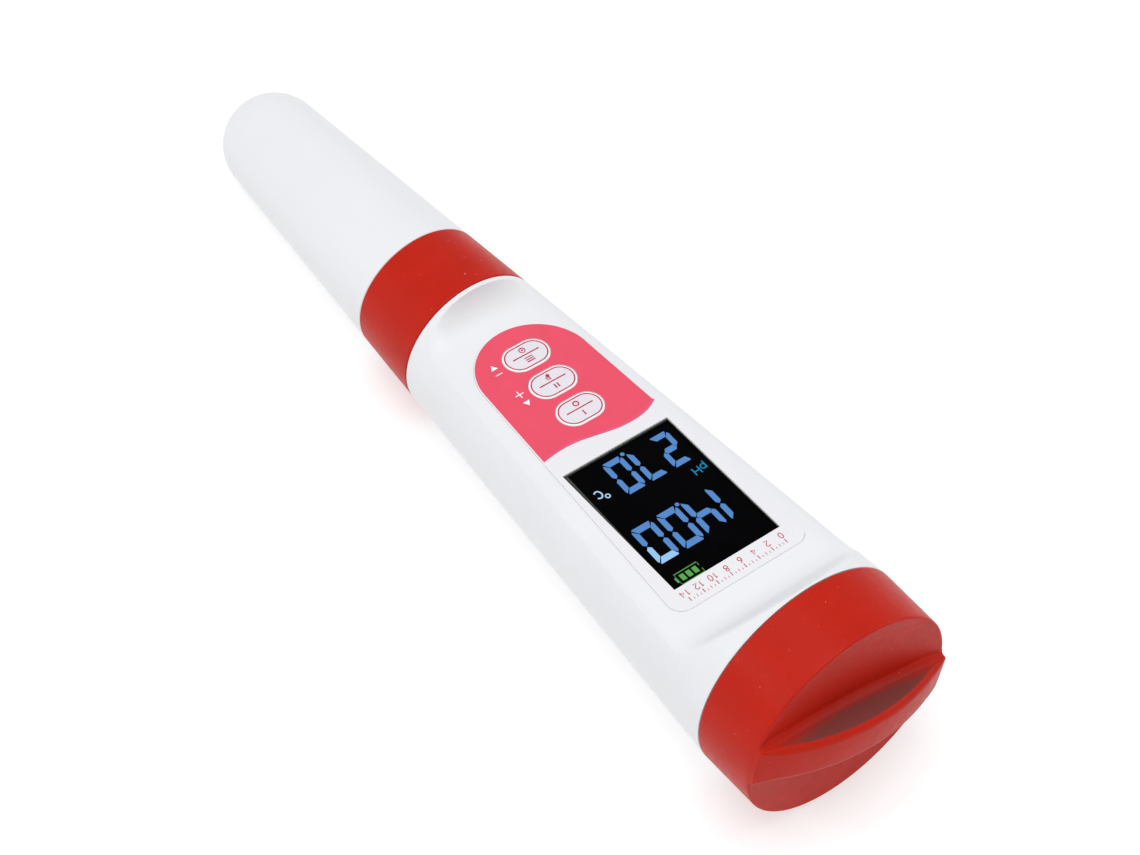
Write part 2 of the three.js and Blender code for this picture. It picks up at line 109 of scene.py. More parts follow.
def fillet(points, n=5):
    """[(x, r, fillet radius)] -> rounded [(x, r)]. A polyline; its ends stay."""
    out = []
    m = len(points)
    for i, p in enumerate(points):
        x, r = p[0], p[1]
        f = p[2] if len(p) > 2 else 0
        if i in (0, m - 1) or f <= 0:
            out.append((x, r))
            continue
        a = np.array(points[i - 1][:2], float)
        b = np.array((x, r), float)
        c = np.array(points[i + 1][:2], float)
        u, w = a - b, c - b
        lu, lw = np.linalg.norm(u), np.linalg.norm(w)
        if lu < 1e-9 or lw < 1e-9:
            out.append((x, r))
            continue
        u, w = u / lu, w / lw
        ang = math.acos(max(-1, min(1, float(u @ w))))
        if ang > math.pi - 1e-3:
            out.append((x, r))
            continue
        t = min(f / math.tan(ang / 2), lu * 0.49, lw * 0.49)
        f = t * math.tan(ang / 2)
        bis = (u + w) / np.linalg.norm(u + w)
        ctr = b + bis * (f / math.sin(ang / 2))
        p0, p1 = b + u * t, b + w * t
        a0 = math.atan2(*(p0 - ctr)[::-1])
        a1 = math.atan2(*(p1 - ctr)[::-1])
        d = (a1 - a0 + math.pi) % (2 * math.pi) - math.pi
        for k in range(n + 1):
            q = a0 + d * k / n
            out.append((ctr[0] + f * math.cos(q), ctr[1] + f * math.sin(q)))
    return out


def dense(points, step):
    out = [points[0]]
    for a, b in zip(points, points[1:]):
        L = math.hypot(b[0] - a[0], b[1] - a[1])
        n = max(1, int(math.ceil(L / step)))
        for k in range(1, n + 1):
            out.append((a[0] + (b[0] - a[0]) * k / n, a[1] + (b[1] - a[1]) * k / n))
    return out


def revolve_data(profile, seg=128, closed=False, warp=None):
    """Rows of points turned about x. warp(i, x, r, phi) -> x, r arrays for row i."""
    phi = np.arange(seg) * 2 * math.pi / seg
    rows, verts = [], []
    for i, (x, r) in enumerate(profile):
        if r < 1e-6:
            rows.append([len(verts)] * seg)
            verts.append((x, 0.0, 0.0))
            continue
        xx, rr = np.full(seg, x, float), np.full(seg, r, float)
        if warp is not None:
            xx, rr = warp(i, xx, rr, phi)
        base = len(verts)
        verts += list(zip(xx, rr * np.sin(phi), rr * np.cos(phi)))
        rows.append(list(range(base, base + seg)))
    faces = []
    pairs = list(zip(rows, rows[1:]))
    if closed:
        pairs.append((rows[-1], rows[0]))
    for A, B in pairs:
        for j in range(seg):
            k = (j + 1) % seg
            q = [A[j], A[k], B[k], B[j]]
            f = []
            for v in q:
                if v not in f:
                    f.append(v)
            if len(f) >= 3:
                faces.append(f)
    return verts, faces


def turned(name, profile, body, mat, seg=128, closed=False, at=(0, 0), angle=32, warp=None):
    v, f = revolve_data(profile, seg, closed, warp)
    v = np.array(v, float)
    v[:, 1] += at[0]
    v[:, 2] += at[1]
    return make(name, v, f, body, mat, angle)


def evaluated(ob):
    deps = bpy.context.evaluated_depsgraph_get()
    deps.update()
    me = bpy.data.meshes.new_from_object(ob.evaluated_get(deps))
    return me


def boolean(ob, cutters, op="DIFFERENCE", solver="EXACT"):
    for i, c in enumerate(cutters):
        m = ob.modifiers.new(f"b{i}", "BOOLEAN")
        m.operation = op
        m.solver = solver
        m.object = c
    me = evaluated(ob)
    ob.modifiers.clear()
    old = ob.data
    ob.data = me
    bpy.data.meshes.remove(old)
    for c in cutters:
        d = c.data
        bpy.data.objects.remove(c)
        bpy.data.meshes.remove(d)
    return ob


def prism(name, outline, z0, z1, body=None, mat=None, holes=(), bevel=0.0, angle=32, bevel_seg=2):
    """An outline in the label plane (x, y) between z0 and z1, with holes, by a filled curve."""
    cu = bpy.data.curves.new(name, "CURVE")
    cu.dimensions = "2D"
    cu.fill_mode = "BOTH"
    for pts in [outline, *holes]:
        sp = cu.splines.new("POLY")
        sp.points.add(len(pts) - 1)
        for p, (x, y) in zip(sp.points, pts):
            p.co = (x, y, 0, 1)
        sp.use_cyclic_u = True
    h = (z1 - z0) / 2
    cu.extrude = h - bevel
    cu.bevel_depth = bevel
    cu.bevel_resolution = bevel_seg
    cu.offset = -bevel
    tmp = bpy.data.objects.new(name + "_c", cu)
    bpy.context.scene.collection.objects.link(tmp)
    me = evaluated(tmp)
    bpy.data.objects.remove(tmp)
    bpy.data.curves.remove(cu)
    bm = bmesh.new()
    bm.from_mesh(me)
    bmesh.ops.remove_doubles(bm, verts=bm.verts, dist=1e-5)
    for v in bm.verts:
        v.co.z += (z0 + z1) / 2
    bm.transform(M)
    bm.to_mesh(me)
    bm.free()
    me.name = name
    ob = bpy.data.objects.new(name, me)
    bpy.context.scene.collection.objects.link(ob)
    me.materials.clear()
    finish_mesh(ob, mat or [], angle)
    if body:
        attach(ob, body)
    return ob


def arc2(cx, cy, r, a0, a1, n):
    return [
        (cx + r * math.cos(math.radians(a0 + (a1 - a0) * k / n)), cy + r * math.sin(math.radians(a0 + (a1 - a0) * k / n)))
        for k in range(n + 1)
    ]


def pill(cx, cy, length, width, n=20):
    r = width / 2
    h = length / 2 - r
    return arc2(cx, cy + h, r, 0, 180, n) + arc2(cx, cy - h, r, 180, 360, n)


def label_outline(grow=0.0, n=10):
    def hw(x):
        return 12.93 + (x + 12.9) * 0.0548 + grow

    xt, r = -12.9 + grow, 2.5
    rend, xe = 9.95 + grow, -64.15
    pts = arc2(xt - r, hw(xt) - r, r, 0, 88, n)
    pts += [(xe, hw(xe))]
    pts += [(xe + (x - xe) * (rend / hw(xe)), y) for x, y in arc2(xe, 0, hw(xe), 90, 270, 6 * n)][1:-1]
    pts += [(xe, -hw(xe))]
    pts += arc2(xt - r, -hw(xt) + r, r, 272, 360, n)
    return pts


# ---- materials ----------------------------------------------------------------------
def srgb(r, g, b):
    def f(c):
        c /= 255
        return c / 12.92 if c <= 0.04045 else ((c + 0.055) / 1.055) ** 2.4

    return (f(r), f(g), f(b), 1)


def material(
    name,
    color,
    rough=0.4,
    metal=0.0,
    mottle=0.03,
    mottle_scale=120,
    rough_var=0.06,
    bump=0.02,
    bump_scale=2500,
    coat=0.0,
    coat_rough=0.1,
    sss=0.0,
    sss_radius=(0.002, 0.0015, 0.0012),
    spec=0.5,
    transmission=0.0,
    ior=1.5,
    emission=None,
    emission_strength=0.0,
    scratches=0.0,
    brushed=None,
    specks=0.0,
):
    m = bpy.data.materials.new(name)
    m.use_nodes = True
    nt = m.node_tree
    N, L = nt.nodes, nt.links
    p = N["Principled BSDF"]
    tc = N.new("ShaderNodeTexCoord")
    big = N.new("ShaderNodeTexNoise")
    big.inputs["Scale"].default_value = mottle_scale
    big.inputs["Detail"].default_value = 4
    big.inputs["Roughness"].default_value = 0.6
    L.new(tc.outputs["Object"], big.inputs["Vector"])
    ramp = N.new("ShaderNodeValToRGB")
    c = np.array(color[:3])
    lo = np.clip(c * (1 - mottle), 0, 1)
    hi = np.clip(c * (1 + mottle), 0, 1)
    ramp.color_ramp.elements[0].position = 0.3
    ramp.color_ramp.elements[1].position = 0.7
    ramp.color_ramp.elements[0].color = (*lo, 1)
    ramp.color_ramp.elements[1].color = (*hi, 1)
    L.new(big.outputs["Fac"], ramp.inputs["Fac"])
    if specks:
        # scattered pale dust and wear specks
        sp_ = N.new("ShaderNodeTexNoise")
        sp_.inputs["Scale"].default_value = 2300
        sp_.inputs["Detail"].default_value = 1
        L.new(tc.outputs["Object"], sp_.inputs["Vector"])
        sr = N.new("ShaderNodeMapRange")
        sr.inputs["From Min"].default_value = 0.76
        sr.inputs["From Max"].default_value = 0.84
        sr.inputs["To Min"].default_value = 0.0
        sr.inputs["To Max"].default_value = specks
        L.new(sp_.outputs["Fac"], sr.inputs["Value"])
        mx = N.new("ShaderNodeMix")
        mx.data_type = "RGBA"
        mx.inputs[7].default_value = (0.75, 0.62, 0.58, 1)
        L.new(sr.outputs["Result"], mx.inputs[0])
        L.new(ramp.outputs["Color"], mx.inputs[6])
        L.new(mx.outputs[2], p.inputs["Base Color"])
    else:
        L.new(ramp.outputs["Color"], p.inputs["Base Color"])
    rr = N.new("ShaderNodeMapRange")
    rr.inputs["From Min"].default_value = 0.3
    rr.inputs["From Max"].default_value = 0.7
    rr.inputs["To Min"].default_value = max(0.0, rough - rough_var)
    rr.inputs["To Max"].default_value = min(1.0, rough + rough_var)
    mid = N.new("ShaderNodeTexNoise")
    mid.inputs["Scale"].default_value = mottle_scale * 5
    mid.inputs["Detail"].default_value = 3
    L.new(tc.outputs["Object"], mid.inputs["Vector"])
    L.new(mid.outputs["Fac"], rr.inputs["Value"])
    L.new(rr.outputs["Result"], p.inputs["Roughness"])
    p.inputs["Metallic"].default_value = metal
    p.inputs["Specular IOR Level"].default_value = spec
    p.inputs["IOR"].default_value = ior
    p.inputs["Coat Weight"].default_value = coat
    p.inputs["Coat Roughness"].default_value = coat_rough
    p.inputs["Transmission Weight"].default_value = transmission
    if sss:
        p.inputs["Subsurface Weight"].default_value = sss
        p.inputs["Subsurface Radius"].default_value = sss_radius
        p.inputs["Subsurface Scale"].default_value = 1.0
    if emission is not None:
        p.inputs["Emission Color"].default_value = emission
        p.inputs["Emission Strength"].default_value = emission_strength
    if bump:
        fine = N.new("ShaderNodeTexNoise")
        fine.inputs["Scale"].default_value = bump_scale
        fine.inputs["Detail"].default_value = 3
        if brushed is not None:
            mp = N.new("ShaderNodeMapping")
            mp.inputs["Scale"].default_value = brushed
            L.new(tc.outputs["Object"], mp.inputs["Vector"])
            L.new(mp.outputs["Vector"], fine.inputs["Vector"])
        else:
            L.new(tc.outputs["Object"], fine.inputs["Vector"])
        bp = N.new("ShaderNodeBump")
        bp.inputs["Strength"].default_value = 1.0
        bp.inputs["Distance"].default_value = bump * 0.001
        L.new(fine.outputs["Fac"], bp.inputs["Height"])
        L.new(bp.outputs["Normal"], p.inputs["Normal"])
        if scratches:
            vor = N.new("ShaderNodeTexVoronoi")
            vor.feature = "DISTANCE_TO_EDGE"
            vor.inputs["Scale"].default_value = 90
            L.new(tc.outputs["Object"], vor.inputs["Vector"])
            mr = N.new("ShaderNodeMapRange")
            mr.inputs["From Min"].default_value = 0.0
            mr.inputs["From Max"].default_value = 0.01
            mr.inputs["To Min"].default_value = scratches
            mr.inputs["To Max"].default_value = 0.0
            L.new(vor.outputs["Distance"], mr.inputs["Value"])
            ad = N.new("ShaderNodeMath")
            ad.operation = "SUBTRACT"
            L.new(fine.outputs["Fac"], ad.inputs[0])
            L.new(mr.outputs["Result"], ad.inputs[1])
            L.new(ad.outputs["Value"], bp.inputs["Height"])
    return m


WHITE = material("white_abs", srgb(222, 223, 226), rough=0.44, mottle=0.012, mottle_scale=60, rough_var=0.05, bump=0.006, bump_scale=3000, spec=0.42, sss=0.0)
RED = material("red_abs", srgb(180, 30, 14), rough=0.4, mottle=0.05, mottle_scale=170, rough_var=0.05, bump=0.014, bump_scale=1300, spec=0.11, specks=0.35)
LABEL = material("label_film_white", srgb(222, 222, 226), rough=0.3, mottle=0.01, mottle_scale=80, rough_var=0.04, bump=0.003, bump_scale=1800, spec=0.45)
PINK = material("label_ink_pink", srgb(222, 74, 98), rough=0.36, mottle=0.03, mottle_scale=300, rough_var=0.05, bump=0.004, bump_scale=2200, spec=0.35)
PINK_EDGE = material("label_ink_pink_light", srgb(216, 84, 122), rough=0.34, mottle=0.03, mottle_scale=300, bump=0.004, bump_scale=2200, spec=0.35)
PRINT_RED = material("print_red", srgb(178, 42, 66), rough=0.45, mottle=0.08, mottle_scale=900, bump=0.002, spec=0.3)
# white for printed marks, also put on the key rims as a painted highlight
WHITE_PRINT_AND_RIM_HIGHLIGHT = material("print_white_and_rim_highlight", srgb(238, 232, 236), rough=0.4, mottle=0.02, mottle_scale=500, bump=0.002, spec=0.35)
KEY = material("key_face", srgb(218, 214, 222), rough=0.34, mottle=0.02, mottle_scale=350, rough_var=0.05, bump=0.004, bump_scale=2000, spec=0.45)
# lighter edge colour for the film's side faces: a painted highlight along its cut edge
FILM_EDGE_HIGHLIGHT = material("film_edge_painted_highlight", srgb(236, 234, 228), rough=0.5, mottle=0.06, mottle_scale=400, bump=0.002)
BLACK = material("display_black", (0.0012, 0.0013, 0.0016, 1), rough=0.07, mottle=0.2, mottle_scale=300, rough_var=0.02, bump=0.0004, bump_scale=900, spec=0.012)
# display glass edge colour, darkened as painted shade for the cut-out's walls in shadow
GLASS_EDGE_AND_SHADE = material("display_glass_edge_and_shade", srgb(44, 48, 45), rough=0.28, mottle=0.35, mottle_scale=1200, bump=0.004, bump_scale=1500, spec=0.6)
GREY = material("grey_plastic", srgb(140, 144, 148), rough=0.5, mottle=0.04, bump=0.01)
GUIDE = material("light_guide", srgb(240, 243, 240), rough=0.2, mottle=0.02, bump=0.003, spec=0.6)
RUBBER = material("black_rubber", srgb(36, 36, 38), rough=0.72, mottle=0.18, mottle_scale=700, bump=0.02, bump_scale=2600, spec=0.35)
BOARD = material("solder_mask", srgb(22, 92, 54), rough=0.38, mottle=0.1, mottle_scale=500, bump=0.006, bump_scale=1500, coat=0.3)
CHIP = material("moulded_black", srgb(38, 39, 41), rough=0.5, mottle=0.12, mottle_scale=900, bump=0.01, bump_scale=3500)
STEEL = material("stainless", srgb(196, 198, 202), rough=0.26, metal=1.0, mottle=0.05, mottle_scale=400, rough_var=0.08, bump=0.003, bump_scale=1200, brushed=(0.15, 1, 1))
GOLD = material("gold_contact", srgb(214, 170, 88), rough=0.28, metal=1.0, mottle=0.05, mottle_scale=500, rough_var=0.08, bump=0.003)
PROBE = material("probe_plastic", srgb(44, 46, 50), rough=0.42, mottle=0.1, mottle_scale=300, rough_var=0.08, bump=0.012, bump_scale=1800, scratches=0.15)
GLASS = material("electrode_glass", (0.93, 0.97, 0.97, 1), rough=0.03, mottle=0.01, rough_var=0.01, bump=0.0, transmission=1.0, ior=1.48)
SILVER = material("silver_wire", srgb(190, 188, 186), rough=0.45, metal=1.0, mottle=0.15, mottle_scale=1500, bump=0.01)
CERAMIC = material("porous_ceramic", srgb(236, 231, 218), rough=0.85, mottle=0.1, mottle_scale=2500, bump=0.04, bump_scale=4500, spec=0.3)
GRAPHITE = material("graphite", srgb(52, 53, 57), rough=0.38, metal=0.4, mottle=0.15, mottle_scale=1500, bump=0.01, bump_scale=3500)
SPONGE = material("foam", srgb(212, 219, 226), rough=0.95, mottle=0.12, mottle_scale=900, bump=0.25, bump_scale=1600, spec=0.2)
CELLWRAP = material("cell_steel", srgb(202, 203, 205), rough=0.22, metal=1.0, mottle=0.04, mottle_scale=300, rough_var=0.07, bump=0.002)


def glow(name, color, strength=1.0, spread=0.05):
    dim = tuple(c * 0.12 for c in color[:3]) + (1,)
    return material(name, dim, rough=0.3, mottle=0.1, mottle_scale=700, bump=0.002, spec=0.1, emission=color, emission_strength=strength)


BLUE = glow("digit_blue", srgb(86, 138, 204), 0.86)
BLUE_HI = glow("digit_blue_bright", srgb(150, 196, 240), 0.9)
CYAN = glow("unit_cyan", srgb(22, 140, 186), 0.85)
ICE = glow("unit_ice", srgb(176, 214, 242), 0.9)
GREEN = glow("battery_green", srgb(92, 168, 84), 0.85)

# ---- camera, floor and light --------------------------------------------------------
Rm = np.array([[0.6097, 0.7921, 0.0281], [-0.6072, 0.4440, 0.6588], [0.5094, -0.4188, 0.7518]])
rot = np.array([[CT, 0, -ST], [0, 1, 0], [ST, 0, CT]])
cols = [rot @ r for r in Rm]
u, s, vt = np.linalg.svd(np.array(cols).T)
Q = u @ vt
loc = rot @ CAM + np.array([XS, 0, R0 * CT])
cam_data = bpy.data.cameras.new("camera")
cam_data.sensor_width = 36.0
cam_data.lens = 2792.47 / 1140 * 36.0
cam_data.clip_end = 50
cam = bpy.data.objects.new("camera", cam_data)
bpy.context.scene.collection.objects.link(cam)
mw = Matrix.Identity(4)
for i in range(3):
    for j in range(3):
        mw[i][j] = Q[i, j]
    mw[i][3] = loc[i] * 0.001
cam.matrix_world = mw
bpy.context.scene.camera = cam

floor_me = bpy.data.meshes.new("floor")
F = 3.0
floor_me.from_pydata([(-F, -F, -0.0001), (F, -F, -0.0001), (F, F, -0.0001), (-F, F, -0.0001)], [], [(0, 1, 2, 3)])
floor = bpy.data.objects.new("floor", floor_me)
bpy.context.scene.collection.objects.link(floor)
floor_me.materials.append(material("floor_paper", (0.5, 0.5, 0.5, 1), rough=0.85, mottle=0.004, mottle_scale=8, bump=0.0, spec=0.1, emission=(1, 1, 1, 1), emission_strength=0.56))

world = bpy.data.worlds.new("world")
bpy.context.scene.world = world
world.use_nodes = True
world.node_tree.nodes["Background"].inputs["Color"].default_value = (1.0, 1.0, 1.0, 1)
world.node_tree.nodes["Background"].inputs["Strength"].default_value = 0.58
bpy.context.scene.view_settings.view_transform = "Standard"
bpy.context.scene.view_settings.look = "None"


def softbox(name, loc, target, size, power, color=(1, 1, 1)):
    li = bpy.data.lights.new(name, "AREA")
    li.shape = "RECTANGLE"
    li.size, li.size_y = size
    li.energy = power
    li.color = color
    o = bpy.data.objects.new(name, li)
    o.location = loc
    d = Vector(target) - Vector(loc)
    o.rotation_euler = d.to_track_quat("-Z", "Y").to_euler()
    bpy.context.scene.collection.objects.link(o)
    return o


softbox("side_left", (-0.45, -0.79, 0.50), (0, 0, 0.02), (0.34, 0.34), 1.3)
softbox("overhead", (0.03, -0.18, 1.15), (0, 0, 0.02), (0.8, 0.8), 7.5)
softbox("side_right", (0.15, 0.95, 0.55), (0, 0, 0.02), (0.5, 0.4), 1.5)

# ---- storage cap --------------------------------------------------------------------
TIP_X = -148.4
TIP_R = (cone(TIP_X) * CT) / (1 - SLOPE * CT)
TIP_C = TIP_X + TIP_R
RING_X0, RING_X1 = -96.12, -81.59
G = 0.06


def sphere_rows(c, r, a0, a1, n):
    return [(c + r * math.cos(math.radians(a)), max(0.0, r * math.sin(math.radians(a)))) for a in np.linspace(a0, a1, n + 1)]


a1 = 90 + math.degrees(TILT)
outer = sphere_rows(TIP_C, TIP_R, 180, a1, 40)
outer[0] = (TIP_X, 0.0)
xe = RING_X0 - G
mouth = fillet([(-110, cone(-110)), (xe, cone(xe), 0.28), (xe, 10.35, 0.1), (xe - 0.6, 9.9, 0.2), (-107.5, 9.9, 0.3), (-108.3, 9.35, 0.3), (TIP_C, TIP_R - 1.6)], 5)
body_rows = dense([outer[-1], mouth[0]], 2.0)[1:-1]
inner = sphere_rows(TIP_C, TIP_R - 1.6, a1, 180, 20)
inner[-1] = (TIP_C - TIP_R + 1.6, 0.0)
cap = turned("storage_cap_shell", outer + body_rows + mouth[:-1] + inner, "storage_cap", WHITE, seg=192)
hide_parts("probe_cap")

rng = np.random.default_rng(7)


def foam_warp(i, x, r, phi):
    n = np.sin(phi * 7 + i * 1.3) * 0.05 + np.sin(phi * 13 - i * 2.1) * 0.04 + np.sin(phi * 29 + i * 3.7) * 0.03
    return x + n * 0.6, r + n


sp = sphere_rows(TIP_C, 6.75, 180, 90, 18)
sp[0] = (TIP_C - 6.75, 0.0)
sp += fillet([(TIP_C, 6.75), (-137.05, 6.75, 0.45), (-137.05, 0)], 5)[1:-1]
sp = sp + [(-137.08, r) for r in np.linspace(6.0, 0.6, 12)] + [(-137.12, 0.0)]
foam = turned("storage_sponge_foam", sp, "storage_cap", SPONGE, seg=96, warp=foam_warp)
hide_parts("storage_sponge")


# ---- threads ------------------------------------------------------------------------
def thread(x, phi, pitch, height, x0, x1, turn=1.0, sharp=0.55):
    """Helical ridge height at (x, phi), fading in and out at its ends."""
    t = (x / pitch - turn * phi / (2 * math.pi)) % 1.0
    d = np.abs(t - 0.5) * 2
    h = np.clip((sharp - d) / (sharp * 0.7), 0, 1)
    h = h * h * (3 - 2 * h)
    fade = np.clip((x - x0) / 0.7, 0, 1) * np.clip((x1 - x) / 0.7, 0, 1)
    return height * h * fade


# ---- lock ring ----------------------------------------------------------------------
xa, xb = RING_X0 + G, RING_X1 - G
prof = fillet(
    [(-89, cone(-89)), (xb, cone(xb), 0.22), (xb, 11.3, 0.12), (xb - 0.5, 11.0, 0.15), (-91.6, 11.0, 0.2), (-91.6, 9.95, 0.15), (xa, 9.95, 0.2), (xa, cone(xa), 0.22)],
    5,
)
prof = dense(prof + [(-89, cone(-89))], 0.22)[:-1]


def ring_warp(i, x, r, phi):
    inside = (r < 11.06) & (r > 10.94) & (x > -91.5) & (x < xb - 0.4)
    return x, r - np.where(inside, thread(x, -phi, 2.1, 0.18, -91.0, xb - 0.6), 0)


ring = turned("lock_ring_body", prof, "lock_ring", RED, seg=192, closed=True, warp=ring_warp)
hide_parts("lock_ring")
w = fillet([(-90.8, 9.75), (-90.3, 9.75, 0.1), (-90.3, 10.65, 0.1), (-91.35, 10.65, 0.1), (-91.35, 9.75, 0.1), (-90.8, 9.75)], 3)[:-1]
washer = turned("ring_washer_body", w, "ring_carriage", GREY, seg=128, closed=True)
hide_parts("ring_washer")

# ---- barrel -------------------------------------------------------------------------
FLAT_Z, CREST_X, CF = 8.5, -80.55, 5.2
RAMP0, RAMP1 = (-7.5, 8.5), (-0.55, 18.95)
stations = []  # (x, height of the flat face's surface, smoothing)
for x in (-81.2, -80.9, -80.72, -80.6):
    stations.append((x, 60.0, 0.6))
for a in np.linspace(183, 270, 30):
    t = (a - 183) / 87
    stations.append((CREST_X + CF + CF * math.cos(math.radians(a)), FLAT_Z + CF + CF * math.sin(math.radians(a)), 1.2 + 1.8 * t))
for x in np.arange(-74.9, -15.3, 0.8):
    stations.append((float(x), FLAT_Z, 3.0 + 0.4 * max(0.0, min(1.0, (x + 20.0) / 9.0))))
ramp = dense(fillet([(-15.0, 8.5), (-7.5, 8.5, 6.0), RAMP1], 14), 0.4)
for x, h in ramp:
    t = min(1, max(0, (x + 7.5) / 7.0))
    stations.append((x, h, 3.4 - 2.7 * t))
for x in (-0.42, -0.3):
    stations.append((x, 60.0, 0.5))


def smin(a, b, k):
    h = np.clip(k - np.abs(a - b), 0, None) / k
    return np.minimum(a, b) - h * h * k * 0.25


def face_r(x, h, k, phi, cut=0.0):
    c = np.cos(phi)
    rf = np.where(c > 0.12, (h - cut) / np.maximum(c, 0.12), 1e3)
    rc = cone(x) - cut
    return smin(np.full_like(phi, rc), rf, k) if k > 0 else np.minimum(rc, rf)


profile, tags = [], []


def put(pts, tag):
    for p in pts:
        profile.append((p[0], p[1]))
        tags.append(tag if not callable(tag) else tag(p))


xa, xb = RING_X1 + G, -G
nose = fillet([(-79.2, 8.8), (-88.0, 8.8, 0.3), (-88.0, 10.55, 0.45), (xa - 0.35, 10.55, 0.2), (xa, 10.95, 0.15), (xa, cone(xa), 0.2), (-81.2, cone(-81.2))], 4)
put(dense(nose, 0.22)[:-1], ("nose",))
for x, h, k in stations:
    profile.append((x, cone(x)))
    tags.append(("face", h, k))
endf = fillet([(-0.3, cone(-0.3)), (xb, cone(xb), 0.16), (xb, 12.0, 0.1), (-0.6, 11.6, 0.2), (-4.0, 11.6)], 4)
put(dense(endf, 0.22)[1:-1], ("bore",))
n_ramp = math.atan2(RAMP1[1] - RAMP0[1], RAMP1[0] - RAMP0[0])


def height_at(x):
    if x >= RAMP0[0]:
        return FLAT_Z + (x - RAMP0[0]) * math.tan(n_ramp)
    if x <= CREST_X + CF:
        d = min(CF, max(0.0, CREST_X + CF - x))
        return FLAT_Z + CF - math.sqrt(CF * CF - d * d)
    return FLAT_Z


def inner_height(x):
    if x >= -7.5:
        return height_at(x) - 1.65 / math.cos(n_ramp)
    return height_at(x) - 1.65


def in_r(x, phi):
    h = max(inner_height(x), 6.85)
    c = np.cos(phi)
    return np.minimum(cone(x) - 1.7, np.where(c > 0.1, h / np.maximum(c, 0.1), 1e3))


profile.append((-4.0, 11.6)); tags.append(("neck", 11.6))
profile.append((-4.3, 12.0)); tags.append(("in", 0))
for x in np.arange(-5.0, -79.0, -1.5):
    profile.append((float(x), 12.0)); tags.append(("in", 0))
profile.append((-79.2, 12.0)); tags.append(("in", 0))


def shell_warp(i, x, r, phi):
    t = tags[i]
    if t[0] == "face":
        return x, face_r(x[0], t[1], t[2], phi)
    if t[0] == "nose":
        on = (np.abs(r - 10.55) < 0.02) & (x > -87.6) & (x < xa - 0.4)
        return x, r + np.where(on, thread(x, -phi, 2.1, 0.18, -87.3, xa - 0.6), 0)
    if t[0] == "bore":
        on = (np.abs(r - 11.6) < 0.02) & (x < -0.6)
        return x, r - np.where(on, thread(x, -phi, 1.8, 0.16, -3.9, -0.9), 0)
    if t[0] == "neck":
        return x, np.minimum(r, in_r(x[0], phi))
    if t[0] == "in":
        return x, in_r(x[0], phi)
    return x, r


shell = turned("barrel", profile, None, WHITE, seg=360, closed=True, warp=shell_warp, angle=38)
cutters = [
    prism("cut_label", label_outline(0.03), 8.0, 14),
    prism("cut_window", [(-45.25, -11.25), (-16.1, -11.25), (-16.1, 10.94), (-45.25, 10.94)], 6.0, 9.0),
]
KEYS = [("power", -53.6), ("hold", -60.6), ("mode", -67.6)]
for n, x in KEYS:
    cutters.append(prism("cut_" + n, pill(x, 0.4, 8.9, 6.1, 14), 6.0, 9.0))
boolean(shell, cutters)
shell.data.materials.clear()
finish_mesh(shell, WHITE, 38)
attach(shell, "root")
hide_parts("body_shell")

# ---- label --------------------------------------------------------------------------
TOP = 8.6
W = dict(x0=-44.26, x1=-17.05, y0=-10.28, y1=10.25)
win_hole = [(W["x0"], W["y0"]), (W["x1"], W["y0"]), (W["x1"], W["y1"]), (W["x0"], W["y1"])]
key_holes = [pill(x, 0.4, 8.5, 5.7, 20) for n, x in KEYS]
film = prism("label_film", label_outline(0), 8.25, TOP - 0.02, "root", [LABEL, FILM_EDGE_HIGHLIGHT], holes=[win_hole, *key_holes])
# the film's side faces take the painted highlight edge material
for p in film.data.polygons:
    if abs(p.normal.z) < 0.6:
        p.material_index = 1
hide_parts("face_label")

WAVE = [(-48.25, 11.0), (-47.36, 9.1), (-46.9, 7.04), (-46.8, 4.96), (-46.94, 2.88), (-47.36, 0.79), (-47.83, -1.29), (-48.3, -3.38), (-48.54, -5.46), (-48.54, -7.54), (-48.33, -9.6), (-48.15, -10.67)]


def smooth_curve(pts, n=8):
    p = np.array(pts, float)
    out = []
    for i in range(len(p) - 1):
        a, b = p[max(i - 1, 0)], p[i]
        c, d = p[i + 1], p[min(i + 2, len(p) - 1)]
        for t in np.linspace(0, 1, n, endpoint=False):
            out.append(tuple(0.5 * (2 * b + (c - a) * t + (2 * a - 5 * b + 4 * c - d) * t * t + (3 * b - a - 3 * c + d) * t**3)))
    out.append(tuple(p[-1]))
    return out


def clip_outline(inset, wave):
    """The label's outline below the wave, pulled in by inset."""
    o = [(x, y) for x, y in label_outline(-inset, 14)]
    hw = lambda x: 12.93 + (x + 12.9) * 0.0548 - inset
    left = [(x, y) for x, y in wave]
    left[0] = (left[0][0], hw(left[0][0]))
    left[-1] = (left[-1][0], -hw(left[-1][0]))
    low = [(x, y) for x, y in o if x < -49.5]
    return left[::-1] + low


wave = smooth_curve(WAVE)
# the pink stops 0.17 short of the film's edge, so a thin white border shows there as a painted highlight on the raised
# edge
pink = prism("label_pink", clip_outline(0.17, wave), TOP - 0.021, TOP, "root", PINK, holes=key_holes)

# light rim of the pink print along the wave
band = [(x - 0.42, y) for x, y in wave]
hwp = lambda x: 12.93 + (x + 12.9) * 0.0548 - 0.03
rim_pts = [(x, max(-hwp(x), min(hwp(x), y))) for x, y in wave] + [(x, max(-hwp(x), min(hwp(x), y))) for x, y in band[::-1]]
rim = prism("label_pink_rim", rim_pts, TOP - 0.002, TOP + 0.004, "root", PINK_EDGE)


def mark(name, pts, z0, z1, mat, body="root", holes=()):
    o = prism(name, pts, z0, z1, body, mat, holes=holes)
    return o


# side marks beside the keys
def seen(x, y, z):
    return onz(x, y, z)


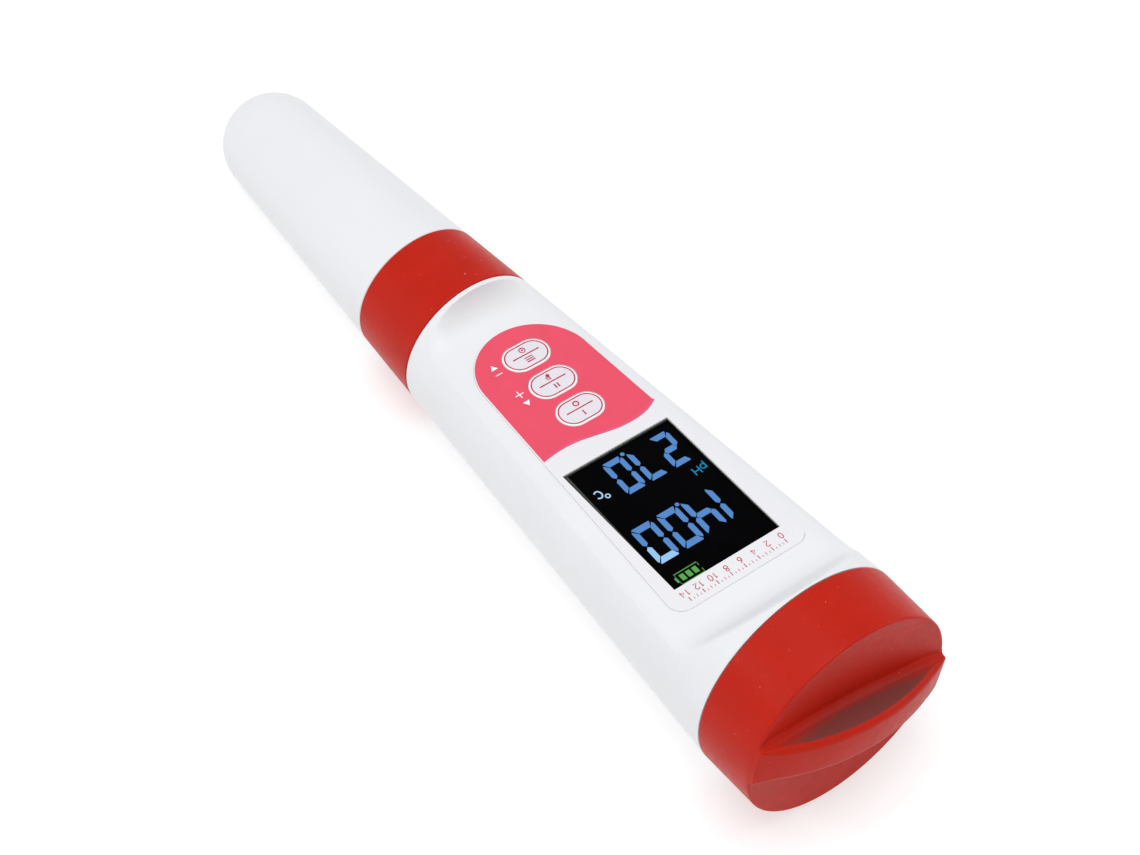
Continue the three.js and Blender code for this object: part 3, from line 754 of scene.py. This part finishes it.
cx, cy = seen(-59.4, -5.46, TOP)
mark("mark_up", [(cx + 0.53, cy), (cx - 0.5, cy + 0.64), (cx - 0.5, cy - 0.64)], TOP - 0.005, TOP + 0.012, WHITE_PRINT_AND_RIM_HIGHLIGHT)
cx, cy = seen(-61.56, -5.46, TOP)
a, b = 0.78, 0.09
mark("mark_plus", [(cx + a, cy + b), (cx + b, cy + b), (cx + b, cy + a), (cx - b, cy + a), (cx - b, cy + b), (cx - a, cy + b), (cx - a, cy - b), (cx - b, cy - b), (cx - b, cy - a), (cx + b, cy - a), (cx + b, cy - b), (cx + a, cy - b)], TOP - 0.005, TOP + 0.012, WHITE_PRINT_AND_RIM_HIGHLIGHT)
cx, cy = seen(-66.9, -5.46, TOP)
mark("mark_minus", [(cx + b, cy + 0.64), (cx - b, cy + 0.64), (cx - b, cy - 0.64), (cx + b, cy - 0.64)], TOP - 0.005, TOP + 0.012, WHITE_PRINT_AND_RIM_HIGHLIGHT)
cx, cy = seen(-68.56, -5.46, TOP)
mark("mark_down", [(cx - 0.53, cy), (cx + 0.5, cy - 0.64), (cx + 0.5, cy + 0.64)], TOP - 0.005, TOP + 0.012, WHITE_PRINT_AND_RIM_HIGHLIGHT)

# a plain 0 to 14 scale where the maker's wording would be
def join(objs, name):
    """Several pieces as one mesh. They share their body and material."""
    V, Fc, n = [], [], 0
    for o in objs:
        me = o.data
        co = np.empty(len(me.vertices) * 3)
        me.vertices.foreach_get("co", co)
        V.append(co.reshape(-1, 3))
        Fc += [[v + n for v in p.vertices] for p in me.polygons]
        n += len(me.vertices)
    mat = objs[0].data.materials[0]
    for o in objs:
        d = o.data
        bpy.data.objects.remove(o)
        bpy.data.meshes.remove(d)
    me = bpy.data.meshes.new(name)
    me.from_pydata(np.vstack(V).tolist(), [], Fc)
    me.update()
    ob = bpy.data.objects.new(name, me)
    bpy.context.scene.collection.objects.link(ob)
    me.materials.append(mat)
    return ob


def round_bar(pts, width, z0, z1, mat):
    """A printed stroke along the points, with square ends, not yet on any body."""
    p = np.array(pts, float)
    n = len(p)
    L_, R_ = [], []
    for i in range(n):
        d = p[min(i + 1, n - 1)] - p[max(i - 1, 0)]
        d = d / (np.linalg.norm(d) + 1e-12)
        q = np.array([-d[1], d[0]])
        L_.append(tuple(p[i] + q * width / 2))
        R_.append(tuple(p[i] - q * width / 2))
    return prism("stroke", L_ + R_[::-1], z0, z1, None, mat)


def ell(cx, cy, rx, ry, a0, a1, n=14):
    return [(cx + rx * math.cos(math.radians(a)), cy + ry * math.sin(math.radians(a))) for a in np.linspace(a0, a1, n)]


# strokes in a box one unit high: (across, up), across growing in the reading direction
FONT = {
    "0": [ell(0.3, 0.5, 0.27, 0.47, 0, 360, 22)],
    "1": [[(0.1, 0.78), (0.32, 0.97), (0.32, 0.03)]],
    "2": [ell(0.3, 0.7, 0.27, 0.27, 165, -30, 12) + [(0.03, 0.03), (0.6, 0.03)]],
    "4": [[(0.46, 0.03), (0.46, 0.97), (0.02, 0.28), (0.62, 0.28)]],
    "6": [ell(0.3, 0.3, 0.26, 0.27, 150, 510, 20), [(0.04, 0.42), (0.2, 0.75), (0.42, 0.97)]],
    "8": [ell(0.3, 0.27, 0.27, 0.25, 0, 360, 20), ell(0.3, 0.75, 0.22, 0.22, 0, 360, 18)],
}
parts_ = []
for i in range(29):
    y = 9.2 - 18.6 * i / 28
    big = i % 4 == 0
    x1_, x0_ = -14.05, (-14.85 if big else (-14.6 if i % 2 == 0 else -14.4))
    ww = 0.075 if big else 0.05
    X1, Y1 = seen(x1_, y, TOP)
    X0, _ = seen(x0_, y, TOP)
    parts_.append(prism("tick", [(X0, Y1 - ww), (X1, Y1 - ww), (X1, Y1 + ww), (X0, Y1 + ww)], TOP - 0.022, TOP - 0.01, None, PRINT_RED))
H_ = 1.15
for i in range(8):
    y = 9.2 - 18.6 * (4 * i) / 28
    txt = str(2 * i)
    width = len(txt) * 0.62 * H_ + (len(txt) - 1) * 0.14 * H_
    for k, ch in enumerate(txt):
        left = y + width / 2 - k * 0.76 * H_
        for st in FONT[ch]:
            parts_.append(round_bar([seen(-16.25 + v * H_, left - u * H_, TOP) for u, v in st], 0.15, TOP - 0.022, TOP - 0.01, PRINT_RED))
scale = join(parts_, "label_scale")
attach(scale, "root")

# ---- keys ---------------------------------------------------------------------------
def key(n, x):
    body = "key_" + n
    cx, cy = x, 0.4
    z_top = 8.80
    rows = []
    # pill cap with rounded top edge and a slightly crowned top, in rings of inset outlines
    def ringpts(inset, nn=28):
        return pill(cx, cy, 8.4 - 2 * inset, 5.6 - 2 * inset, nn)

    levels = [(-0.5, 6.05), (-0.5, 6.6), (0.0, 6.6), (0.0, 8.35)]
    for k in range(1, 7):
        a = k * math.pi / 12
        levels.append((0.28 - 0.28 * math.cos(a), 8.35 + 0.28 * math.sin(a)))
    # raised rim in the lighter white as a painted highlight on the key's edge, a printed ring, then the crowned face
    levels += [(0.37, 8.632), (0.60, 8.63), (0.66, 8.632), (0.85, 8.655), (1.3, 8.70), (1.8, 8.735), (2.3, 8.75), (2.6, 8.755)]
    red_band = len(levels) - 8
    verts, faces, mats = [], [], []
    rings = []
    for inset, z in levels:
        pts = ringpts(inset)
        rings.append(list(range(len(verts), len(verts) + len(pts))))
        verts += [(p[0], p[1], z) for p in pts]
    nn = len(rings[0])
    for bi_, (A, B) in enumerate(zip(rings, rings[1:])):
        for j in range(nn):
            k2 = (j + 1) % nn
            faces.append([A[j], A[k2], B[k2], B[j]])
            mats.append(0 if bi_ < red_band else (2 if bi_ == red_band else 1))
    faces.append(rings[0][::-1])
    mats.append(0)
    faces.append(rings[-1])
    mats.append(1)
    o = make("key_" + n + "_cap", verts, faces, body, [WHITE_PRINT_AND_RIM_HIGHLIGHT, KEY, PRINT_RED], angle=40)
    if len(o.data.polygons) == len(mats):
        o.data.polygons.foreach_set("material_index", mats)
        o.data.update()
    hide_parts("button_" + n)
    return body, cx, cy


def stroke(name, pts, width, z0, z1, body, mat, closed=False):
    """A flat printed line through points, as one thin solid."""
    p = np.array(pts, float)
    n = len(p)
    L_, R_ = [], []
    for i in range(n):
        if closed:
            d = p[(i + 1) % n] - p[i - 1]
        else:
            d = p[min(i + 1, n - 1)] - p[max(i - 1, 0)]
        d = d / (np.linalg.norm(d) + 1e-12)
        nn = np.array([-d[1], d[0]]) * width / 2
        L_.append(tuple(p[i] + nn))
        R_.append(tuple(p[i] - nn))
    if closed:
        o = prism(name, L_ if abs(area(L_)) > abs(area(R_)) else R_, z0, z1, body, mat, holes=[R_ if abs(area(L_)) > abs(area(R_)) else L_])
    else:
        o = prism(name, L_ + R_[::-1], z0, z1, body, mat)
    return o


def area(pts):
    return 0.5 * sum(x0 * y1 - x1 * y0 for (x0, y0), (x1, y1) in zip(pts, pts[1:] + pts[:1]))


KZ0, KZ1 = 8.70, 8.775
for n, x in KEYS:
    body, cx, cy = key(n, x)
    L1 = lambda nm, pts, w=0.24, closed=False: stroke(f"key_{n}_{nm}", pts, w, KZ0, KZ1, body, PRINT_RED, closed)
    L1("line", [(cx - 0.1, cy + 2.5), (cx - 0.1, cy - 2.5)], 0.22)
    up, dn = cx + 0.95, cx - 1.15
    if n == "power":
        L1("on", [(up + 0.55, cy), (up - 0.45, cy)], 0.2)
        L1("off", arc2(dn, cy, 0.46, 0, 342, 18), 0.2, True)
    elif n == "hold":
        L1("pause_a", [(up + 0.5, cy + 0.28), (up - 0.4, cy + 0.28)], 0.22)
        L1("pause_b", [(up + 0.5, cy - 0.28), (up - 0.4, cy - 0.28)], 0.22)
        L1("therm", [(dn + 0.62, cy), (dn - 0.2, cy)], 0.2)
        mark("key_hold_bulb", arc2(dn - 0.33, cy, 0.3, 0, 342, 18), KZ0, KZ1, PRINT_RED, body)
        for k in range(3):
            L1(f"tick{k}", [(dn + 0.5 - 0.28 * k, cy - 0.22), (dn + 0.5 - 0.28 * k, cy - 0.62)], 0.12)
    else:
        for k in range(3):
            L1(f"bar{k}", [(up + 0.45 - 0.42 * k, cy + 0.75), (up + 0.45 - 0.42 * k, cy - 0.75)], 0.17)
        L1("target", arc2(dn, cy, 0.5, 0, 342, 18), 0.15, True)
        mark("key_mode_dot", arc2(dn, cy, 0.17, 0, 330, 11), KZ0, KZ1, PRINT_RED, body)

# ---- display ------------------------------------------------------------------------
ZD = 7.95
wb = (-44.95, -16.4, -10.95, 10.64)
glass = prism("display_glass", [(wb[0], wb[2]), (wb[1], wb[2]), (wb[1], wb[3]), (wb[0], wb[3])], 6.85, ZD, "root", BLACK, bevel=0.05)
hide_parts("display_window")
# walls of the film's cut-out, as a thin dark frame just inside it: glass-edge colour plus painted shade for the walls
# in shadow
t0 = 0.04
fr = prism(
    "display_surround",
    [(wb[0] + 0.1, wb[2] + 0.1), (wb[1] - 0.1, wb[2] + 0.1), (wb[1] - 0.1, wb[3] - 0.1), (wb[0] + 0.1, wb[3] - 0.1)],
    ZD + 0.01,
    8.24,
    "root",
    GLASS_EDGE_AND_SHADE,
    holes=[[(-44.01, -9.5), (W["x1"] - t0, W["y0"] + t0), (W["x1"] - t0, W["y1"] - t0), (-44.01, W["y1"] - t0)]],
)

SEGS = {"0": "abcdef", "1": "bc", "2": "abged", "4": "fgbc", "7": "abc"}


def seg_poly(s, Wd, H, t, th):
    m = H / 2
    P = {
        "a": [(0.50, H), (Wd - 0.36, H), (Wd - 0.26, H - 0.12), (Wd - t - 0.06, H - th), (t - 0.04, H - th), (0.40, H - 0.2)],
        "b": [(Wd - 0.13, H - 0.36), (Wd, H - 0.7), (Wd, m + 0.56), (Wd - 0.44, m + 0.09), (Wd - t, m + 0.52), (Wd - t, H - th - 0.1)],
        "f": [(0.22, H - 0.42), (0.0, H - 0.8), (0.0, m + 0.50), (0.44, m + 0.09), (t, m + 0.52), (t, H - th - 0.1)],
        "g": [(0.52, m), (0.97, m + 0.55), (Wd - 1.05, m + 0.55), (Wd - 0.58, m + 0.02), (Wd - 1.05, m - 0.55), (0.97, m - 0.55)],
    }
    P["d"] = [(x if True else x, H - y) for x, y in P["a"]]
    P["c"] = [(x, H - y) for x, y in P["b"]]
    P["e"] = [(x, H - y) for x, y in P["f"]]
    return P[s]


DZ0, DZ1 = ZD - 0.01, ZD + 0.012


def glyph(name, ch, right, top, Wd, H, t, th, mat, shear=0.026, bright=()):
    for s in SEGS[ch]:
        pts = []
        for a_, b_ in seg_poly(s, Wd, H, t, th):
            a2 = a_ - (H - b_) * shear
            y = right + Wd - a2
            x = top - H + b_
            pts.append(seen(x, y, ZD))
        o = prism(f"{name}_{s}", pts, DZ0, DZ1, "root", BLUE_HI if s in bright else mat)


glyph("reading_1", "1", 5.34, -22.1, 3.93, 7.7, 0.95, 1.15, BLUE)
glyph("reading_2", "4", 0.61, -22.1, 3.86, 7.7, 0.95, 1.15, BLUE)
glyph("reading_3", "0", -4.02, -22.02, 3.93, 7.73, 0.95, 1.17, BLUE)
glyph("reading_4", "0", -8.93, -22.0, 4.05, 7.73, 0.95, 1.17, BLUE, bright="ab")
glyph("second_1", "2", 4.77, -35.36, 3.5, 6.98, 0.9, 1.05, BLUE)
glyph("second_2", "7", 0.14, -35.42, 3.5, 6.98, 0.9, 1.05, BLUE)
glyph("second_3", "0", -4.36, -35.4, 3.72, 7.1, 0.9, 1.06, BLUE)
for i, (x, y) in enumerate([(-29.62, 0.42), (-42.42, -0.06)]):
    X, Y = seen(x, y, ZD)
    mark(f"reading_dot_{i + 1}", arc2(X, Y, 0.36, 0, 345, 23), DZ0, DZ1, BLUE)


def dmark(name, pts, mat, holes=()):
    mark(name, [seen(x, y, ZD) for x, y in pts], DZ0, DZ1, mat, holes=[[seen(x, y, ZD) for x, y in h] for h in holes])


def dline(name, pts, width, mat, closed=False):
    q = [seen(x, y, ZD) for x, y in pts]
    stroke(name, q, width, DZ0, DZ1, "root", mat, closed)


# unit marks
bx = -33.8
dline("unit_p_stem", [(bx + 1.12, 8.92), (bx - 0.4, 8.92)], 0.2, CYAN)
dline("unit_p_bowl", arc2(bx + 0.56, 8.50, 0.45, 0, 345, 20), 0.2, CYAN, True)
dline("unit_h_left", [(bx + 1.5, 7.65), (bx, 7.65)], 0.2, CYAN)
dline("unit_h_right", [(bx + 1.5, 6.6), (bx, 6.6)], 0.2, CYAN)
dline("unit_h_bar", [(bx + 0.76, 7.6), (bx + 0.76, 6.65)], 0.18, CYAN)
dline("unit_degree", arc2(-37.16, -7.0, 0.36, 0, 345, 20), 0.2, ICE, True)
dline("unit_c", [(-38.14 + 0.72 * math.cos(math.radians(a)), -8.08 + 0.58 * math.sin(math.radians(a))) for a in np.linspace(-50, 230, 24)], 0.24, ICE)

# battery mark
bx0, bx1, by0, by1 = -19.32, -17.16, -4.3, -8.6
dline("charge_outline_a", [(bx1 - 0.75, by0), (bx1, by0), (bx1, by1), (bx0, by1), (bx0, by0), (bx0 + 0.7, by0)], 0.15, GREEN)
dmark("charge_nub", [(-17.74, by1 - 0.08), (-17.74, by1 - 0.38), (-18.74, by1 - 0.38), (-18.74, by1 - 0.08)], GREEN)
for i in range(3):
    y = -4.86 - 1.19 * i
    dmark(f"charge_bar_{i + 1}", [(-17.66, y), (-17.66, y - 0.82), (-18.86, y - 0.82), (-18.86, y)], GREEN)

# ---- battery cap --------------------------------------------------------------------
CAP_END, CAP_R = 11.27, 18.84
RIB_H, RIB_TOP, RIB_R, RIB_E = 3.5, 16.2, 44.0, 1.15
RIB_TURN = math.radians(-9.7)
prof = fillet(
    [
        (-2.4, 0),
        (-2.4, 2.8, 0.2),
        (8.2, 2.8, 0.4),
        (8.2, 9.9, 0.5),
        (-3.4, 9.9, 0.2),
        (-3.4, 11.2, 0.35),
        (0.12, 11.2, 0.08),
        (0.12, 11.4, 0.05),
        (1.67, 11.4, 0.2),
        (1.67, 13.2, 0.2),
        (0.12, 13.2, 0.1),
        (0.12, 14.4, 0.1),
        (8.6, 14.4, 0.5),
        (8.6, 17.2, 0.5),
        (0.06, 17.2, 0.1),
        (0.06, 19.0, 0.2),
        (CAP_END, CAP_R, 0.5),
        (CAP_END - 0.07, CAP_R - 0.75),
    ],
    7,
)
prof = dense(prof, 0.3) + [(CAP_END - 0.07 - 0.75 * (1 - (r / 18.09) ** 2), r) for r in np.linspace(17.6, 0, 40)]
prof[-1] = (prof[-1][0], 0.0)


def cap_warp(i, x, r, phi):
    on = (np.abs(r - 11.2) < 0.01) & (x < 0.0) & (x > -3.3)
    return x, r + np.where(on, thread(x, -phi, 1.8, 0.16, -3.2, -0.2), 0)


cap_body = turned("battery_cap_body", prof, None, RED, seg=256, warp=cap_warp)
# the rib: crowned along its length, with crisp outer edges and a hollow fillet where it meets the end face
cxr = RIB_TOP - RIB_R
_c, _s = math.cos(RIB_TURN), math.sin(RIB_TURN)
FOOT = 1.3


def end_face(t, d):
    return CAP_END - 0.07 - 0.75 * (1 - min(1.0, (t * t + d * d) / 18.09**2))


def rib_side(t):
    """Half of the rib's cross-section at t along it: (distance from its middle plane, x)."""
    top = cxr + math.sqrt(RIB_R**2 - t * t)
    foot = end_face(t, RIB_H)
    H = max(0.3, top - foot)  # how far it stands proud of the end face
    ee = min(RIB_E, H * 0.45)
    ff = min(FOOT, max(0.05, H - ee - 0.02))
    out = []
    edge = RIB_H + ff
    out.append((edge + 0.5, 8.8))
    out.append((edge + 0.5, end_face(t, edge + 0.5) - 0.02))
    for a in np.linspace(0, 90, 12):
        q = math.radians(a)
        d = edge - ff * math.sin(q)
        out.append((d, end_face(t, d) + ff - ff * math.cos(q)))
    for a in np.linspace(0, 90, 9):
        q = math.radians(a)
        out.append((RIB_H - ee + ee * math.cos(q), top - ee + ee * math.sin(q)))
    return out


V, Fc = [], []
ts = np.linspace(-19.6, 19.6, 141)
for t in ts:
    half = rib_side(float(t))
    ring_ = half + [(-d, x) for d, x in half[::-1]]
    for d, x in ring_:
        V.append((x, t * _c - d * _s, t * _s + d * _c))
nr = len(ring_)
for i in range(len(ts) - 1):
    for j in range(nr):
        k = (j + 1) % nr
        Fc.append([i * nr + j, i * nr + k, (i + 1) * nr + k, (i + 1) * nr + j])
Fc.append(list(range(nr)))
Fc.append([(len(ts) - 1) * nr + j for j in range(nr)][::-1])
rib = make("grip_rib", np.array(V, float), Fc, None, RED)


def paint_reflection_patch(m, centre, radii, color, amount):
    """A soft patch of painted reflection round a point of the row frame, over the material's own colour."""
    nt = m.node_tree
    N, L = nt.nodes, nt.links
    p = N["Principled BSDF"]
    old = p.inputs["Base Color"].links[0].from_socket
    tc = N.new("ShaderNodeTexCoord")
    mp = N.new("ShaderNodeMapping")
    mp.inputs["Scale"].default_value = [1 / r for r in radii]
    mp.inputs["Location"].default_value = [-c / r for c, r in zip(centre, radii)]
    gr = N.new("ShaderNodeTexGradient")
    gr.gradient_type = "SPHERICAL"
    mr = N.new("ShaderNodeMapRange")
    mr.inputs["From Min"].default_value = 0.2
    mr.inputs["From Max"].default_value = 0.55
    mr.inputs["To Max"].default_value = amount
    mx = N.new("ShaderNodeMix")
    mx.data_type = "RGBA"
    mx.inputs[7].default_value = color
    L.new(tc.outputs["Object"], mp.inputs["Vector"])
    L.new(mp.outputs["Vector"], gr.inputs["Vector"])
    L.new(gr.outputs["Fac"], mr.inputs["Value"])
    L.new(mr.outputs["Result"], mx.inputs[0])
    L.new(old, mx.inputs[6])
    L.new(mx.outputs[2], p.inputs["Base Color"])


# painted reflection: the greyish patch on the rib's upper wall, in the hollow above the rib, stands in for a dark
# reflection
RED_CAP_REFLECTION = material("red_abs_cap_painted_reflection", srgb(180, 30, 14), rough=0.4, mottle=0.05, mottle_scale=170, rough_var=0.05, bump=0.014, bump_scale=1300, spec=0.11, specks=0.35)
paint_reflection_patch(RED_CAP_REFLECTION, list(M @ Vector((15.1, -3.5 * _s, 3.5 * _c))), (0.0058, 0.030, 0.02), srgb(98, 60, 56), 0.85)
col = turned("rib_column", fillet([(9.6, 0), (9.6, CAP_R - 0.02), (11.2, CAP_R - 0.02, 0.0), (24, CAP_R - 0.02), (24, 0)], 3), None, RED, seg=256)
boolean(rib, [col], "INTERSECT")
boolean(cap_body, [rib], "UNION")
cap_body.data.materials.clear()
finish_mesh(cap_body, [RED, RED_CAP_REFLECTION], 40)
MI = M.inverted()
# faces on the rib's upper wall take the painted reflection material
for p in cap_body.data.polygons:
    q = MI @ p.center
    n = p.normal
    if q.x > 10.3 and 3.46 < -q.y * _s + q.z * _c < 5.0 and abs(q.y) < 17.5 and -n.y * _s + n.z * _c > 0.25:
        p.material_index = 1
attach(cap_body, "battery_cap")
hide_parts("battery_cap")


def o_ring(name, node, body, x, major, minor):
    pr = [(x + minor * math.cos(a), major + minor * math.sin(a)) for a in np.linspace(0, 2 * math.pi, 24, endpoint=False)]
    o = turned(name, pr, body, RUBBER, seg=128, closed=True)
    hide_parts(node)


o_ring("battery_cap_o_ring", "battery_cap_seal", "cap_carriage", 0.86, 12.28, 0.68)
o_ring("cap_o_ring", "cap_seal", "probe_module", -104.5, 9.12, 0.66)
o_ring("probe_o_ring", "probe_seal", "probe_module", -84.7, 8.03, 0.6)
pp = fillet([(-2.95, 0.9), (-2.75, 0.9, 0.08), (-2.75, 9.5, 0.08), (-3.15, 9.5, 0.08), (-3.15, 0.9, 0.08), (-2.95, 0.9)], 3)[:-1]
o = turned("contact_disc", dense(pp, 0.8), "battery_cap", GOLD, seg=96, closed=True)
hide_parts("battery_contact_plate")

# ---- probe --------------------------------------------------------------------------
GUARD_X, PR, FACE = -135.5, 6.9, -128.0
GL = (0.0, -2.0)
EC = [(3.7, 2.7), (-3.7, 2.7)]
TS = (0.0, 4.3)
JN = (4.9, -1.6)
pp = fillet(
    [
        (FACE, 0),
        (FACE, 5.9, 0.3),
        (GUARD_X, 5.9, 0.25),
        (GUARD_X, PR, 0.55),
        (-109.5, PR, 2.0),
        (-107.0, 9.1, 0.6),
        (-106.4, 9.3, 0.3),
        (-105.4, 9.3, 0.15),
        (-105.4, 8.3, 0.2),
        (-103.6, 8.3, 0.2),
        (-103.6, 9.3, 0.15),
        (-90.05, 9.3, 0.1),
        (-90.05, 10.55, 0.15),
        (-88.3, 10.55, 0.15),
        (-88.3, 8.25, 0.15),
        (-85.6, 8.25, 0.12),
        (-85.6, 7.25, 0.15),
        (-83.8, 7.25, 0.15),
        (-83.8, 8.25, 0.12),
        (-79.5, 8.25, 0.4),
        (-79.5, 0),
    ],
    5,
)
probe = turned("probe_barrel", dense(pp, 1.2), None, PROBE, seg=144)


def box_cut(name, x0, x1, y0, y1, z0, z1):
    v = [(x, y, z) for x in (x0, x1) for y in (y0, y1) for z in (z0, z1)]
    f = [(0, 1, 3, 2), (4, 6, 7, 5), (0, 4, 5, 1), (2, 3, 7, 6), (0, 2, 6, 4), (1, 5, 7, 3)]
    return make(name, v, f, None, PROBE, smooth=False)


def round_slot(name, along):
    """Open-ended slot with a round root, through the guard."""
    pts = [(GUARD_X - 2, -3.2), (GUARD_X - 2, 3.2)] + [(FACE - 1.9 - 0.0 + 1.1 * math.sin(math.radians(a)), 3.2 - 1.1 + 1.1 * math.cos(math.radians(a))) for a in np.linspace(0, 90, 6)]
    pts += [(x, -y) for x, y in pts[2:]][::-1]
    v, f = [], []
    n_ = len(pts)
    for s_ in (-10, 10):
        for x, w_ in pts:
            v.append((x, w_, s_) if along == "z" else (x, s_, w_))
    f.append(list(range(n_)))
    f.append(list(range(2 * n_ - 1, n_ - 1, -1)))
    for j in range(n_):
        k = (j + 1) % n_
        f.append([j, k, n_ + k, n_ + j])
    return make(name, v, f, None, PROBE, smooth=False)


def rod_cut(name, y, z, r, x0, x1, seg=40):
    return turned(name, [(x0, 0), (x0, r), (x1, r), (x1, 0)], None, PROBE, seg=seg, at=(y, z))


cuts = [round_slot("s1", "z"), round_slot("s2", "y"), rod_cut("c1", GL[0], GL[1], 2.75, -129.5, -120)]
for i, (y, z) in enumerate(EC):
    cuts.append(rod_cut(f"c2{i}", y, z, 0.98, -129.5, -127))
cuts.append(rod_cut("c3", TS[0], TS[1], 1.38, -129.5, -127))
cuts.append(rod_cut("c4", JN[0], JN[1], 0.95, -129.5, -127))
boolean(probe, cuts)
probe.data.materials.clear()
finish_mesh(probe, PROBE, 35)
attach(probe, "probe_module")
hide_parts("probe_body")

bc, br, bi = -130.4, 3.05, 2.72
a0 = math.degrees(math.asin(2.45 / br))
o1 = sphere_rows(bc, br, 180, a0, 28)
o1[0] = (bc - br, 0.0)
b0 = math.degrees(math.asin(1.95 / bi))
i1 = sphere_rows(bc, bi, b0, 180, 24)
i1[-1] = (bc - bi, 0.0)
gp = o1 + [(-120, 2.45), (-105, 2.45)] + fillet([(-100, 2.45), (-92, 2.45, 0.2), (-92, 1.95, 0.2), (-100, 1.95)], 3) + [(-110, 1.95), (-120, 1.95)] + i1
gl = turned("glass_bulb_electrode", gp, "probe_module", GLASS, seg=72, at=GL)
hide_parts("glass_electrode")
sw = turned("silver_electrode", fillet([(-131, 0), (-131, 0.4, 0.2), (-89.5, 0.4, 0.1), (-89.5, 0)], 4), "probe_module", SILVER, seg=24, at=GL)
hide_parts("silver_wire")
for i, (y, z) in enumerate(EC):
    o = turned(f"conductivity_pin_{i + 1}_rod", fillet([(-133.2, 0), (-133.2, 0.8, 0.4), (-118.3, 0.8, 0.1), (-118.3, 0)], 6), "probe_module", GRAPHITE, seg=32, at=(y, z))
    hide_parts(f"conductivity_pin_{i + 1}")
o = turned("temperature_sensor_can", fillet([(-132.6, 0), (-132.6, 1.2, 1.0), (-118.3, 1.2, 0.1), (-118.3, 0)], 8), "probe_module", STEEL, seg=40, at=TS)
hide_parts("temperature_sensor")
o = turned("reference_plug", fillet([(-128.25, 0), (-128.25, 0.8, 0.15), (-124.3, 0.8, 0.1), (-124.3, 0)], 4), "probe_module", CERAMIC, seg=32, at=JN)
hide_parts("reference_junction")

# ---- button cells, seen through the battery opening ---------------------------------
for i in range(4):
    x0 = -3.65 - 5.5 * i - 5.35
    pr = fillet([(x0, 0), (x0, 4.9, 0.15), (x0 + 0.3, 5.15, 0.3), (x0 + 0.45, 5.8, 0.15), (x0 + 5.35, 5.8, 0.55), (x0 + 5.35, 0)], 5)
    o = turned(f"button_cell_{i + 1}", dense(pr, 1.5), "root", CELLWRAP, seg=72, at=(0, -5.3))
    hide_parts(f"cell_{i + 1}")

# ---- pieces that keep their CAD shape -----------------------------------------------
KEEP = {
    "lcd_panel": BLACK,
    "lcd_frame": GREY,
    "backlight": GUIDE,
    "zebra_strip": RUBBER,
    "main_board": BOARD,
    "board_carrier": GREY,
    "board_screw_1": STEEL,
    "board_screw_2": STEEL,
    "controller_chip": CHIP,
    "switch_power": CHIP,
    "switch_hold": CHIP,
    "switch_mode": CHIP,
    "battery_holder": GREY,
    "battery_spring": STEEL,
    "terminal_leaf": GOLD,
    "probe_plug": CHIP,
    "probe_socket": GREY,
}
for n, m in KEEP.items():
    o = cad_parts[n]
    o.data.materials.clear()
    o.data.materials.append(m)
    b = o.modifiers.new("edge", "BEVEL")
    b.width = 0.00012
    b.segments = 2
    b.limit_method = "ANGLE"
    b.angle_limit = math.radians(40)
